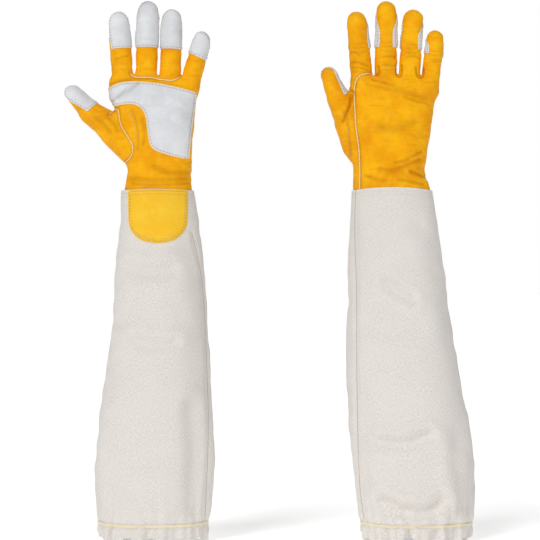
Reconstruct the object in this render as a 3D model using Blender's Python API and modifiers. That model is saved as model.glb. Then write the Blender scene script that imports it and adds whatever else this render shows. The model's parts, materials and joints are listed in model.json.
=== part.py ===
"""A pair of long beekeeping gloves: leather hands with sewn fingers on canvas gauntlet sleeves.

Both gloves stand on their hems with the fingers up. The left glove, at -X, turns its palm to -Y.
The right glove, at +X, is the same design mirrored in Y, so it turns its back to -Y.
Every panel is a thin-walled shell, cut from a lofted tube where the real panels are sewn or bend.
"""
import math

import bmesh
import bpy
from mathutils import Matrix, Vector

# ---- driving dimensions, in metres and degrees ----
LEATHER = 0.0014             # wall of the leather shells
CANVAS = 0.0012              # wall of the canvas sleeve
PATCH = 0.0013               # thickness of the patches sewn on top
GAP = 0.0004                 # clearance between neighbouring pieces
CUFF_GAP = 0.0008            # the same between the sleeve's sloping edge and the leather

SLEEVE_LENGTH = 0.3842       # hem to the edge of the leather
HEM_TRIM = 0.0040            # cut off below the hem, so that it stands flat
HEM_HALF = (0.0600, 0.0430)  # half width and half depth of the sleeve at the hem
FULL_HALF = (0.0655, 0.0450)  # the same at its fullest, above the gathered hem
FULL_SHARE = 0.17            # how far up the sleeve that is
MID_HALF = (0.0580, 0.0415)  # the same half way up
MID_SHARE = 0.50
CUFF_HALF = (0.0405, 0.0262)  # the same where the leather starts
TAPE_Z = 0.0200              # middle of the hem tape
TAPE_HEIGHT = 0.0052
ELASTIC_HEIGHT = 0.0034
ELASTIC_THICKNESS = 0.0008
TAPE_THICKNESS = 0.0008
LABEL_HEIGHT = 0.0580        # leather patch on the palm side of the sleeve
LABEL_WIDTH = 0.0640

WAIST_HALF = (0.0350, 0.0235)  # the narrow place of the leather, where the wrist bends
WAIST_RISE = 0.0170          # from the leather's lower edge up to the wrist's axis
WRIST_HEIGHT = 0.0340        # length of the leather that bends with the wrist
PALM_HALF_DEPTH = 0.0210
KNUCKLE_HALF_DEPTH = 0.0142
HAND_RISE = 0.0925           # from the bending leather up to the finger roots
PATCH_TOP_DROP = 0.0105      # the palm patch stops this far below the finger roots
PATCH_BOTTOM = 0.0060        # and starts this far above the bending leather
PATCH_BAR = 0.0240           # height of its bar below the fingers
PATCH_COLUMN_X = 0.0120      # its column starts this far before the middle of the waist
PATCH_EDGE_Y = 0.0045        # its outer edge stays this far in front of mid depth

FINGER_NAMES = ("index", "middle", "ring", "little")
ROOT_WIDTH = (0.0268, 0.0265, 0.0250, 0.0222)    # across the finger roots
FINGER_WIDTH = (0.0242, 0.0248, 0.0240, 0.0212)  # across the free fingers
BASE_LENGTH = (0.0285, 0.0290, 0.0285, 0.0240)   # root to the tip seam
TIP_LENGTH = (0.0415, 0.0520, 0.0445, 0.0290)    # tip seam to the end
FINGER_DEPTH_SHARE = 0.95    # a finger's depth over its width
TIP_TAPER = 0.90             # width before the round end over the width at the seam
PATCH_WRAP = 0.30            # how far the tip patches reach past mid depth, as a share of half depth

THUMB_MOUTH = (0.0500, 0.0330)  # length and depth of the thumb's mouth in the palm
THUMB_WIDTH = 0.0245
THUMB_TIP_LENGTH = 0.0360
THUMB_CUT_MARGIN = 0.0005    # clearance around the thumb where the palm is cut for it

HAND_AROUND = 24             # facets around the hand and sleeve
FINGER_AROUND = 12
SLEEVE_ROWS = 9
HAND_ROWS = 6
THUMB_ROWS = 4
WRIST_ROWS = 4
BIG = 0.30                   # size of the cutting blocks

# The two gloves differ only in how they are posed. Positions are from the middle of the waist.
# The sleeve's shifts are how far its middle stands off at the hem, at its fullest, half way up
# and at the leather.
LEFT = {
    "side": "left", "mirror": 1, "waist_x": -0.1211,
    "sleeve_shifts": (-0.0073, -0.0053, -0.0003, -0.0015),
    "root_middle_x": -0.0045, "leans": (-4.0, 1.2, 2.0, 15.0),
    "root_drops": (0.0006, 0.0, 0.0012, 0.0042),
    "thumb_seam": (-0.0350, 0.0370), "thumb_seam_lean": -72.0,
    "thumb_joint": (-0.0769, 0.0693), "thumb_lean": -43.0,
}
RIGHT = {
    "side": "right", "mirror": -1, "waist_x": 0.1301,
    "sleeve_shifts": (0.0319, 0.0290, 0.0146, 0.0043),
    "root_middle_x": 0.0075, "leans": (-5.0, 0.4, 4.0, 6.5),
    "root_drops": (0.0006, 0.0, 0.0012, 0.0036),
    "thumb_seam": (-0.0350, 0.0380), "thumb_seam_lean": -62.0,
    "thumb_joint": (-0.0550, 0.0835), "thumb_lean": -23.0,
}

WAIST_Z = SLEEVE_LENGTH + GAP + WAIST_RISE
HAND_Z = SLEEVE_LENGTH + GAP + WRIST_HEIGHT + GAP
ROOT_Z = HAND_Z + HAND_RISE

COLOURS = {
    "yellow_leather": ((0.93, 0.45, 0.02, 1.0), 0.55),
    "white_leather": ((0.68, 0.69, 0.71, 1.0), 0.50),
    "canvas": ((0.78, 0.73, 0.66, 1.0), 0.90),
    "tape": ((0.86, 0.78, 0.58, 1.0), 0.85),
    "elastic": ((0.80, 0.80, 0.78, 1.0), 0.80),
}


# ---- small tools ----
def material(name):
    found = bpy.data.materials.get(name)
    if found:
        return found
    colour, roughness = COLOURS[name]
    made = bpy.data.materials.new(name)
    made.use_nodes = True
    shader = made.node_tree.nodes["Principled BSDF"]
    shader.inputs["Base Color"].default_value = colour
    shader.inputs["Roughness"].default_value = roughness
    shader.inputs["Metallic"].default_value = 0.0
    return made


def oval(half_x, half_y, angle, power):
    """A point of a rounded oval. A power of 2 is an ellipse and higher powers are squarer."""
    c, s = math.cos(angle), math.sin(angle)
    x = math.copysign(abs(c) ** (2 / power), c) * half_x
    y = math.copysign(abs(s) ** (2 / power), s) * half_y
    return x, y


def smooth(t):
    t = min(max(t, 0.0), 1.0)
    return t * t * (3 - 2 * t)


def mix(a, b, t):
    return a + (b - a) * t


def tube_mesh(rings, closed_end):
    """An open surface through rings of points, all with the same count, and a pole if it closes."""
    bm = bmesh.new()
    rows = [[bm.verts.new(p) for p in ring] for ring in rings]
    count = len(rows[0])
    for low, high in zip(rows, rows[1:]):
        for i in range(count):
            j = (i + 1) % count
            bm.faces.new((low[i], low[j], high[j], high[i]))
    if closed_end is not None:
        pole = bm.verts.new(closed_end)
        for i in range(count):
            bm.faces.new((rows[-1][i], rows[-1][(i + 1) % count], pole))
    bmesh.ops.recalc_face_normals(bm, faces=bm.faces)
    mesh = bpy.data.meshes.new("loft")
    bm.to_mesh(mesh)
    bm.free()
    return mesh


def place(mesh, name, where, group):
    made = bpy.data.objects.new(name, mesh)
    made.matrix_world = where
    group.objects.link(made)
    return made


def shell(rings, wall, closed_end=None, name="shell", where=Matrix()):
    """A thin-walled tube: the lofted surface is its outside, and the wall goes inwards."""
    made = place(tube_mesh(rings, closed_end), name, where, cutters)
    solidify = made.modifiers.new("wall", "SOLIDIFY")
    solidify.thickness = wall
    solidify.offset = -1.0 if outward(made.data) else 1.0
    solidify.use_even_offset = True
    return made


def outward(mesh):
    """Whether an open tube's faces point away from its middle."""
    middle = sum((v.co for v in mesh.vertices), Vector()) / len(mesh.vertices)
    return sum((p.center - middle).dot(p.normal) * p.area for p in mesh.polygons) > 0


def filled(rings, name):
    """The same loft as a solid body, for cutting."""
    bm = bmesh.new()
    bm.from_mesh(tube_mesh(rings, None))
    bmesh.ops.holes_fill(bm, edges=bm.edges)
    bmesh.ops.recalc_face_normals(bm, faces=bm.faces)
    mesh = bpy.data.meshes.new(name)
    bm.to_mesh(mesh)
    bm.free()
    return hide(place(mesh, name, Matrix(), cutters))


def hide(cutter):
    cutter.hide_render = True
    cutter.display_type = "WIRE"
    return cutter


def block(name, low, high, where=Matrix()):
    """A box between two corners, for cutting."""
    bm = bmesh.new()
    bmesh.ops.create_cube(bm, size=1.0)
    size = [h - l for l, h in zip(low, high)]
    middle = [(h + l) / 2 for l, h in zip(low, high)]
    bmesh.ops.scale(bm, vec=size, verts=bm.verts)
    bmesh.ops.translate(bm, vec=middle, verts=bm.verts)
    mesh = bpy.data.meshes.new(name)
    bm.to_mesh(mesh)
    bm.free()
    return hide(place(mesh, name, where, cutters))


def evaluated(thing):
    """The thing's mesh with its modifiers, in world space."""
    bpy.context.view_layer.update()
    graph = bpy.context.evaluated_depsgraph_get()
    mesh = bpy.data.meshes.new_from_object(thing.evaluated_get(graph))
    mesh.transform(thing.matrix_world)
    return mesh


def piece(name, source, colour, pivot, glove, keep=(), drop=()):
    """A named sub-part: the source's wall outside every drop block and inside every keep block."""
    work = place(evaluated(source), "work", Matrix(), cutters)
    for operation, tools in (("DIFFERENCE", drop), ("INTERSECT", keep)):
        for tool in tools:
            cut = work.modifiers.new("cut", "BOOLEAN")
            cut.operation = operation
            cut.solver = "EXACT"
            cut.object = tool
    mesh = evaluated(work)
    bpy.data.objects.remove(work)
    if glove["mirror"] < 0:
        mesh.transform(Matrix.Diagonal((1, -1, 1, 1)))
        mesh.flip_normals()
    mesh.transform(pivot.matrix_world.inverted())
    mesh.name = name
    mesh.materials.clear()
    mesh.materials.append(material(colour))
    mesh.shade_smooth()
    mesh.set_sharp_from_angle(angle=math.radians(35))
    made = bpy.data.objects.new(glove["side"] + "_" + name, mesh)
    parts.objects.link(made)
    made.parent = pivot
    return made


def pivot_at(name, location, lean, parent=None):
    """An empty on a joint's axis. Its own X is the axis and its own Z points along the limb."""
    made = bpy.data.objects.new(name, None)
    made.empty_display_size = 0.01
    parts.objects.link(made)
    made.matrix_world = Matrix.Translation(location) @ Matrix.Rotation(math.radians(lean), 4, "Y")
    if parent:
        made.parent = parent
        made.matrix_parent_inverse = parent.matrix_world.inverted()
    bpy.context.view_layer.update()
    return made


def frame_at(x, z, lean, y=0.0):
    """A frame in the build's own space, before the right glove is mirrored."""
    return Matrix.Translation((x, y, z)) @ Matrix.Rotation(math.radians(lean), 4, "Y")


def level_ring(middle_x, z, half_x, half_y, power=2.0, count=HAND_AROUND):
    points = []
    for i in range(count):
        x, y = oval(half_x, half_y, math.tau * (i + 0.5) / count, power)
        points.append(Vector((middle_x + x, y, z)))
    return points


# ---- the canvas sleeve and what is sewn to it ----
def through(stations, values, at):
    """A smooth curve through the values at the stations (Catmull-Rom)."""
    k = max(i for i in range(len(stations) - 1) if at >= stations[i] or i == 0)
    slopes = []
    for i in (k, k + 1):
        low, high = max(i - 1, 0), min(i + 1, len(stations) - 1)
        slopes.append((values[high] - values[low]) / (stations[high] - stations[low]))
    span = stations[k + 1] - stations[k]
    t = (at - stations[k]) / span
    start = (2 * t ** 3 - 3 * t ** 2 + 1) * values[k] + (t ** 3 - 2 * t ** 2 + t) * span * slopes[0]
    end = (3 * t ** 2 - 2 * t ** 3) * values[k + 1] + (t ** 3 - t ** 2) * span * slopes[1]
    return start + end


def sleeve_section(glove, z):
    """Middle and half sizes of the sleeve at a height."""
    share = z / SLEEVE_LENGTH
    stations = (0.0, FULL_SHARE, MID_SHARE, 1.0)
    halves = list(zip(HEM_HALF, FULL_HALF, MID_HALF, CUFF_HALF))
    middle_x = glove["waist_x"] + through(stations, glove["sleeve_shifts"], share)
    return middle_x, through(stations, halves[0], share), through(stations, halves[1], share)


def sleeve_rings(glove, low, high, rows, out=0.0):
    rings = []
    for k in range(rows + 1):
        z = mix(low, high, k / rows)
        middle_x, half_x, half_y = sleeve_section(glove, z)
        rings.append(level_ring(middle_x, z, half_x + out, half_y + out))
    return rings


def build_sleeve(glove):
    ground = pivot_at(glove["side"] + "_glove", (0, 0, 0), 0)
    below = -HEM_TRIM
    canvas = shell(sleeve_rings(glove, below, SLEEVE_LENGTH, SLEEVE_ROWS), CANVAS)
    above_ground = block("above_ground", (-BIG * 2, -BIG, 0), (BIG * 2, BIG, 1))
    piece("sleeve", canvas, "canvas", ground, glove, keep=(above_ground,))

    low, high = TAPE_Z - ELASTIC_HEIGHT / 2, TAPE_Z + ELASTIC_HEIGHT / 2
    elastic_out = GAP + ELASTIC_THICKNESS
    elastic = shell(sleeve_rings(glove, low, high, 1, elastic_out), ELASTIC_THICKNESS)
    piece("hem_elastic", elastic, "elastic", ground, glove)

    low, high = TAPE_Z - TAPE_HEIGHT / 2, TAPE_Z + TAPE_HEIGHT / 2
    tape_out = elastic_out + GAP + TAPE_THICKNESS
    tape = shell(sleeve_rings(glove, low, high, 1, tape_out), TAPE_THICKNESS)
    piece("hem_tape", tape, "tape", ground, glove)

    low = SLEEVE_LENGTH - LABEL_HEIGHT
    leather = shell(sleeve_rings(glove, low, SLEEVE_LENGTH, 3, GAP + PATCH), PATCH)
    outline = label_outline(glove, low)
    piece("label_patch", leather, "yellow_leather", ground, glove, keep=(outline,))
    return ground


def label_outline(glove, low):
    """A block with the label's outline: straight sides and a round lower end, seen along Y."""
    curve = bpy.data.curves.new("label_outline", "CURVE")
    curve.dimensions = "2D"
    curve.fill_mode = "BOTH"
    curve.extrude = BIG / 2
    half = LABEL_WIDTH / 2
    drop = LABEL_HEIGHT * 0.36
    points = [(half, LABEL_HEIGHT + 0.01), (-half, LABEL_HEIGHT + 0.01)]
    for i in range(13):
        x, y = oval(half, drop, math.pi * (1 + i / 12), 2.8)
        points.append((x, drop + y + 0.0005))
    spline = curve.splines.new("POLY")
    spline.points.add(len(points) - 1)
    for point, (x, z) in zip(spline.points, points):
        point.co = (x, z, 0, 1)
    spline.use_cyclic_u = True
    turned = Matrix.Translation((glove["waist_x"] - 0.001, -BIG / 2, low))
    flat = place(curve, "label_outline_curve", turned @ Matrix.Rotation(math.pi / 2, 4, "X"), cutters)
    mesh = evaluated(flat)
    bpy.data.objects.remove(flat)
    bm = bmesh.new()
    bm.from_mesh(mesh)
    bmesh.ops.remove_doubles(bm, verts=bm.verts, dist=1e-6)
    bmesh.ops.recalc_face_normals(bm, faces=bm.faces)
    bm.to_mesh(mesh)
    bm.free()
    return hide(place(mesh, "label_outline", Matrix(), cutters))


# ---- the hand ----
def finger_roots(glove):
    """For each finger: the middle of its root line, its lean, and the two ends of that line."""
    total = sum(ROOT_WIDTH)
    x = glove["waist_x"] + glove["root_middle_x"] - total / 2
    roots = []
    for width, lean, drop in zip(ROOT_WIDTH, glove["leans"], glove["root_drops"]):
        middle = Vector((x + width / 2, 0, ROOT_Z - drop))
        roots.append((middle, lean, width))
        x += width
    return roots


def root_line_z(glove, x):
    """Height of the hand's upper edge, which follows the root line of the finger above it."""
    heights = []
    for middle, lean, width in finger_roots(glove):
        if abs(x - middle.x) <= width / 2 + GAP:
            heights.append(middle.z - (x - middle.x) * math.tan(math.radians(lean)))
    if not heights:
        middle, lean, width = finger_roots(glove)[0 if x < glove["waist_x"] else -1]
        heights.append(middle.z - (x - middle.x) * math.tan(math.radians(lean)))
    return min(heights)


def hand_rings(glove, out=0.0):
    total = sum(ROOT_WIDTH)
    rings = []
    for k in range(HAND_ROWS + 1):
        t = k / HAND_ROWS
        ease = smooth(t * 1.15)
        middle_x = mix(glove["waist_x"], glove["waist_x"] + glove["root_middle_x"], ease)
        half_x = mix(WAIST_HALF[0] + 0.0005, total / 2, ease) + out
        if t < 0.4:
            half_y = mix(WAIST_HALF[1], PALM_HALF_DEPTH, t / 0.4) + out
        else:
            half_y = mix(PALM_HALF_DEPTH, KNUCKLE_HALF_DEPTH, (t - 0.4) / 0.6) + out
        power = mix(2.1, 3.4, ease)
        ring = level_ring(middle_x, HAND_Z, half_x, half_y, power)
        for point in ring:
            point.z = mix(HAND_Z, root_line_z(glove, point.x) - GAP, t)
        rings.append(ring)
    return rings


def thumb_rings(glove, out=0.0):
    """The thumb's base, from its mouth in the palm to the joint before its tip."""
    seam = seam_frame(glove)
    joint_x, joint_z = glove["thumb_joint"]
    joint = frame_at(glove["waist_x"] + joint_x, WAIST_Z + joint_z, glove["thumb_lean"])
    rings = []
    start_point = seam @ Vector((0, 0, 0))
    end_point = joint @ Vector((0, 0, -GAP))
    pull = (end_point - start_point).length * 0.45
    for k in range(THUMB_ROWS + 1):
        t = k / THUMB_ROWS
        leave = start_point + seam.to_3x3() @ Vector((0, 0, pull))
        arrive = end_point - joint.to_3x3() @ Vector((0, 0, pull))
        centre = start_point * (1 - t) ** 3 + leave * 3 * t * (1 - t) ** 2
        centre += arrive * 3 * t * t * (1 - t) + end_point * t ** 3
        lean = mix(glove["thumb_seam_lean"], glove["thumb_lean"], t)
        frame = Matrix.Translation(centre) @ Matrix.Rotation(math.radians(lean), 4, "Y")
        half_x = mix(THUMB_MOUTH[0], THUMB_WIDTH, smooth(t) ** 0.8) / 2 + out
        half_y = mix(THUMB_MOUTH[1], THUMB_WIDTH * FINGER_DEPTH_SHARE, smooth(t)) / 2 + out
        ring = []
        for i in range(FINGER_AROUND):
            x, y = oval(half_x, half_y, math.tau * (i + 0.5) / FINGER_AROUND, 2.0)
            ring.append(frame @ Vector((x, y, 0)))
        rings.append(ring)
    return rings


def build_hand(glove, ground):
    wrist = pivot_at(glove["side"] + "_wrist", (glove["waist_x"], 0, WAIST_Z), 0, ground)

    cuff_x, cuff_half_x, cuff_half_y = sleeve_section(glove, SLEEVE_LENGTH)
    rings = []
    for k in range(WRIST_ROWS + 1):
        z = mix(SLEEVE_LENGTH + CUFF_GAP, HAND_Z - GAP, k / WRIST_ROWS)
        nip = smooth((z - SLEEVE_LENGTH) / WAIST_RISE)
        middle_x = mix(cuff_x, glove["waist_x"], nip)
        half_x = mix(cuff_half_x, WAIST_HALF[0], nip)
        half_y = mix(cuff_half_y, WAIST_HALF[1], nip)
        rings.append(level_ring(middle_x, z, half_x, half_y, 2.05))
    piece("wrist_leather", shell(rings, LEATHER), "yellow_leather", wrist, glove)

    hand = shell(hand_rings(glove), LEATHER)
    thumb_hole = filled(thumb_rings(glove, THUMB_CUT_MARGIN), "thumb_hole")
    middle, lean, width = finger_roots(glove)[0]
    seam_x = middle.x + width / 2
    front = block("front", (-BIG, -BIG, 0), (BIG, -GAP / 2, 1))
    back = block("back", (seam_x + GAP / 2, GAP / 2, 0), (BIG * 2, BIG, 1))
    side = block("side", (-BIG * 2, GAP / 2, 0), (seam_x - GAP / 2, BIG, 1))
    where, rings, end = thumb_stall(glove, THUMB_CUT_MARGIN)
    tip_room = filled([[where @ point for point in ring] for ring in rings], "thumb_tip_room")
    cut = (thumb_hole, tip_room)
    piece("palm_panel", hand, "yellow_leather", wrist, glove, keep=(front,), drop=cut)
    piece("back_panel", hand, "yellow_leather", wrist, glove, keep=(back,), drop=cut)
    piece("side_panel", hand, "yellow_leather", wrist, glove, keep=(side,), drop=cut)

    over = shell(hand_rings(glove, GAP + PATCH), PATCH)
    keep_out = filled(thumb_rings(glove, THUMB_CUT_MARGIN + GAP + PATCH), "patch_clear_of_thumb")
    low, high = HAND_Z + PATCH_BOTTOM, ROOT_Z - PATCH_TOP_DROP
    wide = block("patch_wide", (-BIG, -BIG, high - PATCH_BAR), (BIG, -PATCH_EDGE_Y, high))
    tall_x = glove["waist_x"] - PATCH_COLUMN_X
    tall = block("patch_tall", (tall_x, -BIG, low), (BIG, -PATCH_EDGE_Y, high))
    area = joined("patch_area", wide, tall)
    piece("palm_patch", over, "white_leather", wrist, glove, keep=(area,), drop=(keep_out, tip_room))
    return wrist


def joined(name, first, second):
    """Two cutting blocks as one."""
    add = first.modifiers.new("join", "BOOLEAN")
    add.operation = "UNION"
    add.solver = "EXACT"
    add.object = second
    mesh = evaluated(first)
    bpy.data.objects.remove(first)
    return hide(place(mesh, name, Matrix(), cutters))


def seam_frame(glove):
    seam_x, seam_z = glove["thumb_seam"]
    return frame_at(glove["waist_x"] + seam_x, WAIST_Z + seam_z, glove["thumb_seam_lean"])


# ---- fingers and thumb ----
def stall_rings(root_width, width, base, tip, root_depth):
    """Rings of a finger stall in its own frame, with Z along the finger and its middle at X = 0."""
    dome = width / 2 * 1.05
    levels = [(0.0, 0.0), (0.3, 0.0), (1.0, 0.0), (1.6, 0.0)]
    levels += [(2.0, a) for a in (0, 28, 52, 72)]
    rings = []
    for place_on, angle in levels:
        if place_on <= 1.0:
            z = base * place_on
        else:
            z = mix(base, base + tip - dome, place_on - 1) + math.sin(math.radians(angle)) * dome
        flare = (1 - place_on) ** 2 if place_on < 1 else 0
        taper = mix(1.0, TIP_TAPER, max(place_on - 1, 0)) * math.cos(math.radians(angle))
        half_x = mix(width, root_width - 2 * GAP, flare) / 2 * taper
        half_y = mix(width * FINGER_DEPTH_SHARE, root_depth, flare) / 2 * taper
        power = mix(2.1, 3.4, flare)
        ring = []
        for i in range(FINGER_AROUND):
            x, y = oval(half_x, half_y, math.tau * (i + 0.5) / FINGER_AROUND, power)
            ring.append(Vector((x, y, z)))
        rings.append(ring)
    return rings, Vector((0, 0, base + tip))


def build_finger(glove, wrist, index):
    name = FINGER_NAMES[index]
    middle, lean, root_width = finger_roots(glove)[index]
    base, tip = BASE_LENGTH[index], TIP_LENGTH[index]
    width = FINGER_WIDTH[index]
    root_depth = 2 * (KNUCKLE_HALF_DEPTH - 0.0004)
    rings, end = stall_rings(root_width, width, base, tip, root_depth)
    where = frame_at(middle.x, middle.z, lean) @ Matrix.Translation((0, 0, GAP / 2))
    stall = shell(rings, LEATHER, end, name + "_stall", where)

    palm_y = -KNUCKLE_HALF_DEPTH
    tip_palm_y = -width * FINGER_DEPTH_SHARE / 2 - GAP
    base_pivot, tip_pivot = limb_pivots(glove, name, where, wrist, palm_y, base, tip_palm_y)
    limb_pieces(glove, name, stall, where, base, base_pivot, tip_pivot, PATCH_WRAP * width / 2)


def limb_pivots(glove, name, where, wrist, palm_y, base, tip_palm_y):
    mirror = Matrix.Diagonal((1, glove["mirror"], 1, 1))
    lean = math.degrees(where.to_euler().y)
    side = glove["side"] + "_" + name
    at = mirror @ where @ Vector((0, palm_y, 0))
    base_pivot = pivot_at(side + "_base_pivot", at, lean, wrist)
    at = mirror @ where @ Vector((0, tip_palm_y, base))
    tip_pivot = pivot_at(side + "_tip_pivot", at, lean, base_pivot)
    return base_pivot, tip_pivot


def limb_pieces(glove, name, stall, where, base, base_pivot, tip_pivot, wrap):
    """The four leather pieces of a stall: front and back of its base, patch and back of its tip."""
    g = GAP / 2
    base_front = block("f", (-BIG, -BIG, -BIG), (BIG, -g, base - g), where)
    base_back = block("b", (-BIG, g, -BIG), (BIG, BIG, base - g), where)
    tip_front = block("tf", (-BIG, -BIG, base + g), (BIG, wrap - g, BIG), where)
    tip_back = block("tb", (-BIG, wrap + g, base + g), (BIG, BIG, BIG), where)
    piece(name + "_base_front", stall, "yellow_leather", base_pivot, glove, keep=(base_front,))
    piece(name + "_base_back", stall, "yellow_leather", base_pivot, glove, keep=(base_back,))
    piece(name + "_tip_patch", stall, "white_leather", tip_pivot, glove, keep=(tip_front,))
    piece(name + "_tip_back", stall, "yellow_leather", tip_pivot, glove, keep=(tip_back,))


def thumb_stall(glove, out=0.0):
    """The thumb tip's frame, and its rings and its end in that frame. Out makes it larger."""
    joint_x, joint_z = glove["thumb_joint"]
    where = frame_at(glove["waist_x"] + joint_x, WAIST_Z + joint_z, glove["thumb_lean"])
    width = THUMB_WIDTH + 2 * out
    rings, end = stall_rings(width, width, 0.001, THUMB_TIP_LENGTH - 0.001 + out,
                             width * FINGER_DEPTH_SHARE)
    return where, rings[2:], end


def build_thumb(glove, wrist):
    flip = Matrix.Diagonal((1, glove["mirror"], 1, 1))
    hand = filled(hand_rings(glove, THUMB_CUT_MARGIN), "hand_solid")
    base_shell = shell(thumb_rings(glove), LEATHER, None, "thumb_base_shell")
    seam = seam_frame(glove)
    at = flip @ seam @ Vector((0, -THUMB_MOUTH[1] / 2 - GAP, 0.004))
    base_pivot = pivot_at(glove["side"] + "_thumb_base_pivot", at, glove["thumb_seam_lean"], wrist)
    front = block("thumb_front_half", (-BIG, -BIG, -BIG), (BIG, -GAP / 2, 1))
    back = block("thumb_back_half", (-BIG, GAP / 2, -BIG), (BIG, BIG, 1))
    piece("thumb_base_front", base_shell, "yellow_leather", base_pivot, glove, (front,), (hand,))
    piece("thumb_base_back", base_shell, "yellow_leather", base_pivot, glove, (back,), (hand,))

    where, rings, end = thumb_stall(glove)
    stall = shell(rings, LEATHER, end, "thumb_stall", where)
    palm_y = -THUMB_WIDTH * FINGER_DEPTH_SHARE / 2 - GAP
    at = flip @ where @ Vector((0, palm_y, 0))
    tip_pivot = pivot_at(glove["side"] + "_thumb_tip_pivot", at, glove["thumb_lean"], base_pivot)
    wrap = PATCH_WRAP * THUMB_WIDTH / 2
    patch = block("tp", (-BIG, -BIG, -BIG), (BIG, wrap - GAP / 2, BIG), where)
    rest = block("tr", (-BIG, wrap + GAP / 2, -BIG), (BIG, BIG, BIG), where)
    piece("thumb_tip_patch", stall, "white_leather", tip_pivot, glove, keep=(patch,))
    piece("thumb_tip_back", stall, "yellow_leather", tip_pivot, glove, keep=(rest,))


for thing in list(bpy.data.objects):
    bpy.data.objects.remove(thing)
parts = bpy.data.collections.new("beekeeping_gloves")
cutters = bpy.data.collections.new("cutters")
bpy.context.scene.collection.children.link(parts)
bpy.context.scene.collection.children.link(cutters)

for glove in (LEFT, RIGHT):
    ground = build_sleeve(glove)
    wrist = build_hand(glove, ground)
    for index in range(len(FINGER_NAMES)):
        build_finger(glove, wrist, index)
    build_thumb(glove, wrist)

for thing in list(cutters.objects):
    bpy.data.objects.remove(thing)
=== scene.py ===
# %% [markdown]
# # A pair of beekeeping gloves
# Each glove is a leather hand on a long canvas sleeve. The leather hand is one soft, continuous
# form, so it is made as a distance field, meshed, and then cut along the lines where the real
# glove is sewn or bends. The sleeve is cloth, and the stitches and seam edges follow paths, so
# Geometry Nodes make them. Everything starts from the frame: the joints say where each finger
# begins, and the boxes of the solid model say how far each part reaches.

# %% Load the frame
import math
import bpy
import numpy as np
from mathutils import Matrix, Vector
from mathutils.bvhtree import BVHTree
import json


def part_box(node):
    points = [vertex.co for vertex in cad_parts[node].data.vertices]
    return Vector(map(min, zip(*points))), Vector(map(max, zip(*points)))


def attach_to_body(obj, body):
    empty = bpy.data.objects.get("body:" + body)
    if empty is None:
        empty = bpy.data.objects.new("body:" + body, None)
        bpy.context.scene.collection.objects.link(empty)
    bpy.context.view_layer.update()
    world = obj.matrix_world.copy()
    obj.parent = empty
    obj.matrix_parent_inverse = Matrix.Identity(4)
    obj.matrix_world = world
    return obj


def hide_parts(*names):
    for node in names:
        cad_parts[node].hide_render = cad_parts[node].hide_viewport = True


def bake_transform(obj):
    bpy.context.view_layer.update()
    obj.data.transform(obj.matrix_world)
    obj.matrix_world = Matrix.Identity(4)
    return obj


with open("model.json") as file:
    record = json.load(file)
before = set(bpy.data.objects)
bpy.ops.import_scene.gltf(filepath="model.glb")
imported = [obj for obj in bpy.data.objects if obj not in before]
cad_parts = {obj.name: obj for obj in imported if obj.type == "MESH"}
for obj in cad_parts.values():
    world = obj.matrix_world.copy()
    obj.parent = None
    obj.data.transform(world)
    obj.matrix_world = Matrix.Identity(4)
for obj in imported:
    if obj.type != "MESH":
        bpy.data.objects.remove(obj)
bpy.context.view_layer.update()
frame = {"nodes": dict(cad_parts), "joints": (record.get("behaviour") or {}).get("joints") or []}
JOINTS = {j["name"]: j for j in frame["joints"]}

# %% [markdown]
# ## Where the fingers are
# The left glove turns its palm to -Y and the right glove to +Y, so the right glove is worked out
# as if it were a left one and mirrored in Y at the end. A hinge's axis lies across its finger, so
# the finger's own direction is that axis turned by a quarter.

# %% Joints and finger directions
MIRROR = {"left": 1.0, "right": -1.0}
FINGERS = ("index", "middle", "ring", "little")
LIMBS = FINGERS + ("thumb",)
ROOT_RADIUS = {"index": 0.0119, "middle": 0.0121, "ring": 0.0116, "little": 0.0104, "thumb": 0.0150}
SEAM_RADIUS = {"index": 0.0120, "middle": 0.0122, "ring": 0.0117, "little": 0.0103, "thumb": 0.0122}
END_RADIUS = {"index": 0.0106, "middle": 0.0110, "ring": 0.0106, "little": 0.0094, "thumb": 0.0086}


def in_plane(pos):
    return np.array([pos[0], 0.0, pos[2]])


def crosswise(direction):
    """A direction turned by a quarter in the plane of the hand."""
    return np.array([direction[2], 0, -direction[0]])


def limb(side, name):
    """A finger's root, tip seam, the middle of its round end, and its direction at both joints."""
    first = JOINTS[f"{side}_{name}_" + ("swing" if name == "thumb" else "curl")]
    second = JOINTS[f"{side}_{name}_tip_curl"]
    along = [np.array([-j["axis"][2], 0.0, j["axis"][0]]) * MIRROR[side] for j in (first, second)]
    root, seam = in_plane(first["pos_m"]), in_plane(second["pos_m"])
    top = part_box(f"{side}_{name}_tip_patch")[1].z
    reach = (top - END_RADIUS[name] - seam[2]) / along[1][2]
    return {"root": root, "seam": seam, "end": seam + along[1] * reach,
            "root_along": along[0], "along": along[1]}


GLOVES = {side: {name: limb(side, name) for name in LIMBS} for side in MIRROR}
for side in GLOVES:
    GLOVES[side]["side"] = side
    GLOVES[side]["wrist"] = in_plane(JOINTS[side + "_wrist_bend"]["pos_m"])
    GLOVES[side]["hand_z"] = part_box(side + "_palm_panel")[0].z
    GLOVES[side]["cuff_z"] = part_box(side + "_wrist_leather")[0].z
print("middle finger ends at", GLOVES["left"]["middle"]["end"].round(3))

# %% [markdown]
# ## The hand as a distance field
# A leather glove on a form has no hard edges: fingers melt into the hand, and the thumb grows out
# of a thick ball. Joining tubes with a Boolean would leave sharp creases there. A distance field
# says for every point how far it is from the surface, and two fields join with a soft minimum,
# which rounds the inner corner. Each finger is a tapered capsule, and the hand is a rounded oval
# that changes from the wrist to the knuckles.

# %% Field helpers
def soft_min(a, b, width):
    h = np.clip(0.5 + 0.5 * (b - a) / width, 0, 1)
    return b * (1 - h) + a * h - width * h * (1 - h)


def smooth(t):
    t = np.clip(t, 0, 1)
    return t * t * (3 - 2 * t)


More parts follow.
